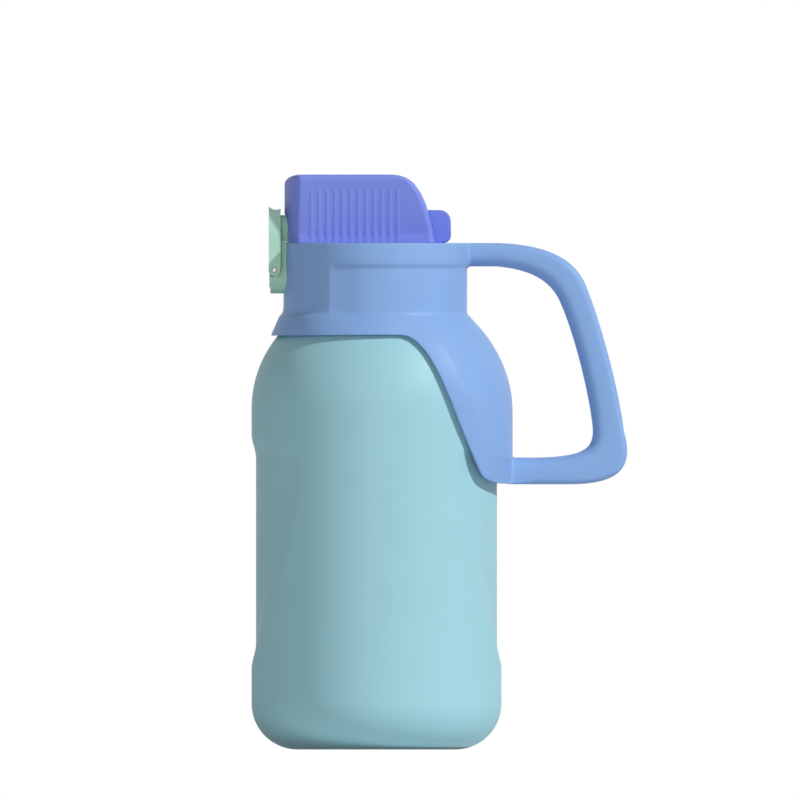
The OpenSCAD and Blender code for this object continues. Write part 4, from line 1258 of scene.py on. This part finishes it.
def besidePlate(z, side):  # plan of the room cut away beside the plate
    outer = bracket["halfW"] + bracket["clear"]
    inner = outer - (outer - bracket["plateHalf"]) * smoothStep(*bracket["flare"], z)
    plan = [(faceX - 1, inner - bracket["plateLean"]), (faceX - 1, reach["side"]),
            (bracket["plateBack"], reach["side"]), (bracket["plateBack"], outer)]
    return [Vector((x, side * y, z)) for x, y in plan]


besides = [loft([besidePlate(z, side) for z in bracket["flareRows"]]) for side in (-1, 1)]
for room in besides:
    bmesh.ops.holes_fill(room, edges=openEdges(room))
bracketOutline = archOutline(bracket["halfW"], bracket["low"], bracket["high"],
                             bracket["corner"], bracket["topCorner"])
bracketShape = plateAlongX(bracketOutline, bracket["front"], bracket["lipBack"], bracket["edge"])
stepBack = bracket["front"] + bracket["stepX"]
bracketCuts = [block((reach["left"], -reach["side"], bracket["blockTop"]),
                     (latchAt.x, reach["side"], reach["high"])),
               block((latchAt.x - 1, -reach["side"], latchAt.z), (faceX, reach["side"], reach["high"])),
               acrossRod(bracket["seat"], reach["side"], latchAt),
               *besides,
               block((reach["left"], -reach["side"], reach["low"]),
                     (stepBack, reach["side"], bracket["stepZ"])),
               cylinder(sleeve["ringR"] + leverGap, reach["low"], ringTop + leverGap, 192)]
bracketShape = combined(bracketShape, bracketCuts, "DIFFERENCE")
latchOutline = arc(pivot, bracket["knuckleR"], 55, 180, 10)
latchWebX, latchWebTop = faceX + bracket["web"][0], lever["earTop"] - bracket["web"][1]
latchOutline += [Vector(p) for p in ((bracket["front"], bracket["knuckleFoot"]),
                                     (latchWebX, bracket["knuckleFoot"]), (latchWebX, latchWebTop),
                                     (latchOutline[0].x, latchWebTop))]
latchKnuckle = prism(latchOutline, -bracket["knuckle"], bracket["knuckle"], bracket["knuckleEdge"])
bracketShape = combined(bracketShape, [latchKnuckle], "UNION")
latchBore = acrossRod(bracket["boreR"], reach["side"], latchAt)
bracketShape = combined(bracketShape, [latchBore], "DIFFERENCE")
finishPiece("latchBracket", bracketShape, latchPlastic, "jug", "latch_plastic", "latch_bracket",
            flat=True)
latchPinShape = acrossRod(latchPin["r"], latchPin["half"], latchAt, latchPin["soft"])
finishPiece("latchPin", latchPinShape, steel, "jug", "steel", "latch_pin")

# Pan-head screws with a cross recess, two to a plate
screw = {"tip": 0.3, "headHigh": 1.5, "headRound": 0.7, "recess": 0.8, "arm": 0.65, "armHalf": 0.3}


def screwPair(name, node, body, sideY, z, shankR, headR):
    low, high = nodeBox(node)
    headX = high.x - screw["headHigh"]
    profile = rounded([(0, low.x), (shankR, low.x, screw["tip"]), (shankR, headX), (headR, headX),
                       (headR, high.x, screw["headRound"]), (0, high.x)])
    deep, arm, wide = high.x - screw["recess"], headR * screw["arm"], screw["armHalf"]
    screws = []
    for y in (-sideY, sideY):
        shape = turned(spun(profile, 40, closed=False), 90, "Y", (0, y, z))
        cross = [block((deep, y - a, z - b), (high.x + 1, y + a, z + b))
                 for a, b in ((arm, wide), (wide, arm))]
        screws.append(combined(shape, cross, "DIFFERENCE"))
    finishPiece(name, joined(*screws), steel, body, "steel", node, flat=True)


screwPair("bracketScrews", "bracket_screws", "jug", sideY=6.0, z=233.0, shankR=1.2, headR=2.2)
screwPair("keeperScrews", "keeper_screws", "cap", sideY=5.5, z=260.5, shankR=1.0, headR=1.9)

# Soft plug under the cap's roof
plug = {
    "low": 269.8,
    "seat": 272.3,
    "top": 275.0,
    "stemTop": 278.0,
    "tipR": 6.2,
    "neckR": 8.6,
    "discR": 12.3,
    "stemR": 9.9,
    "round": 0.8,
    "topRound": 0.5,
}
plugProfile = rounded([(0, plug["low"]), (plug["tipR"], plug["low"], plug["round"]),
                       (plug["neckR"], plug["seat"]), (plug["discR"], plug["seat"], plug["round"]),
                       (plug["discR"], plug["top"], plug["topRound"]), (plug["stemR"], plug["top"]),
                       (plug["stemR"], plug["stemTop"]), (0, plug["stemTop"])])
finishPiece("spoutSeal", atSpout(spun(plugProfile, 96, closed=False)), silicone,
            "cap", "silicone", "spout_seal")

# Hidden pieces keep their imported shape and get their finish
for node, material in (("vacuum_getter", steel), ("neck_gasket", silicone)):
    frame["nodes"][node].data.materials.clear()
    frame["nodes"][node].data.materials.append(material)
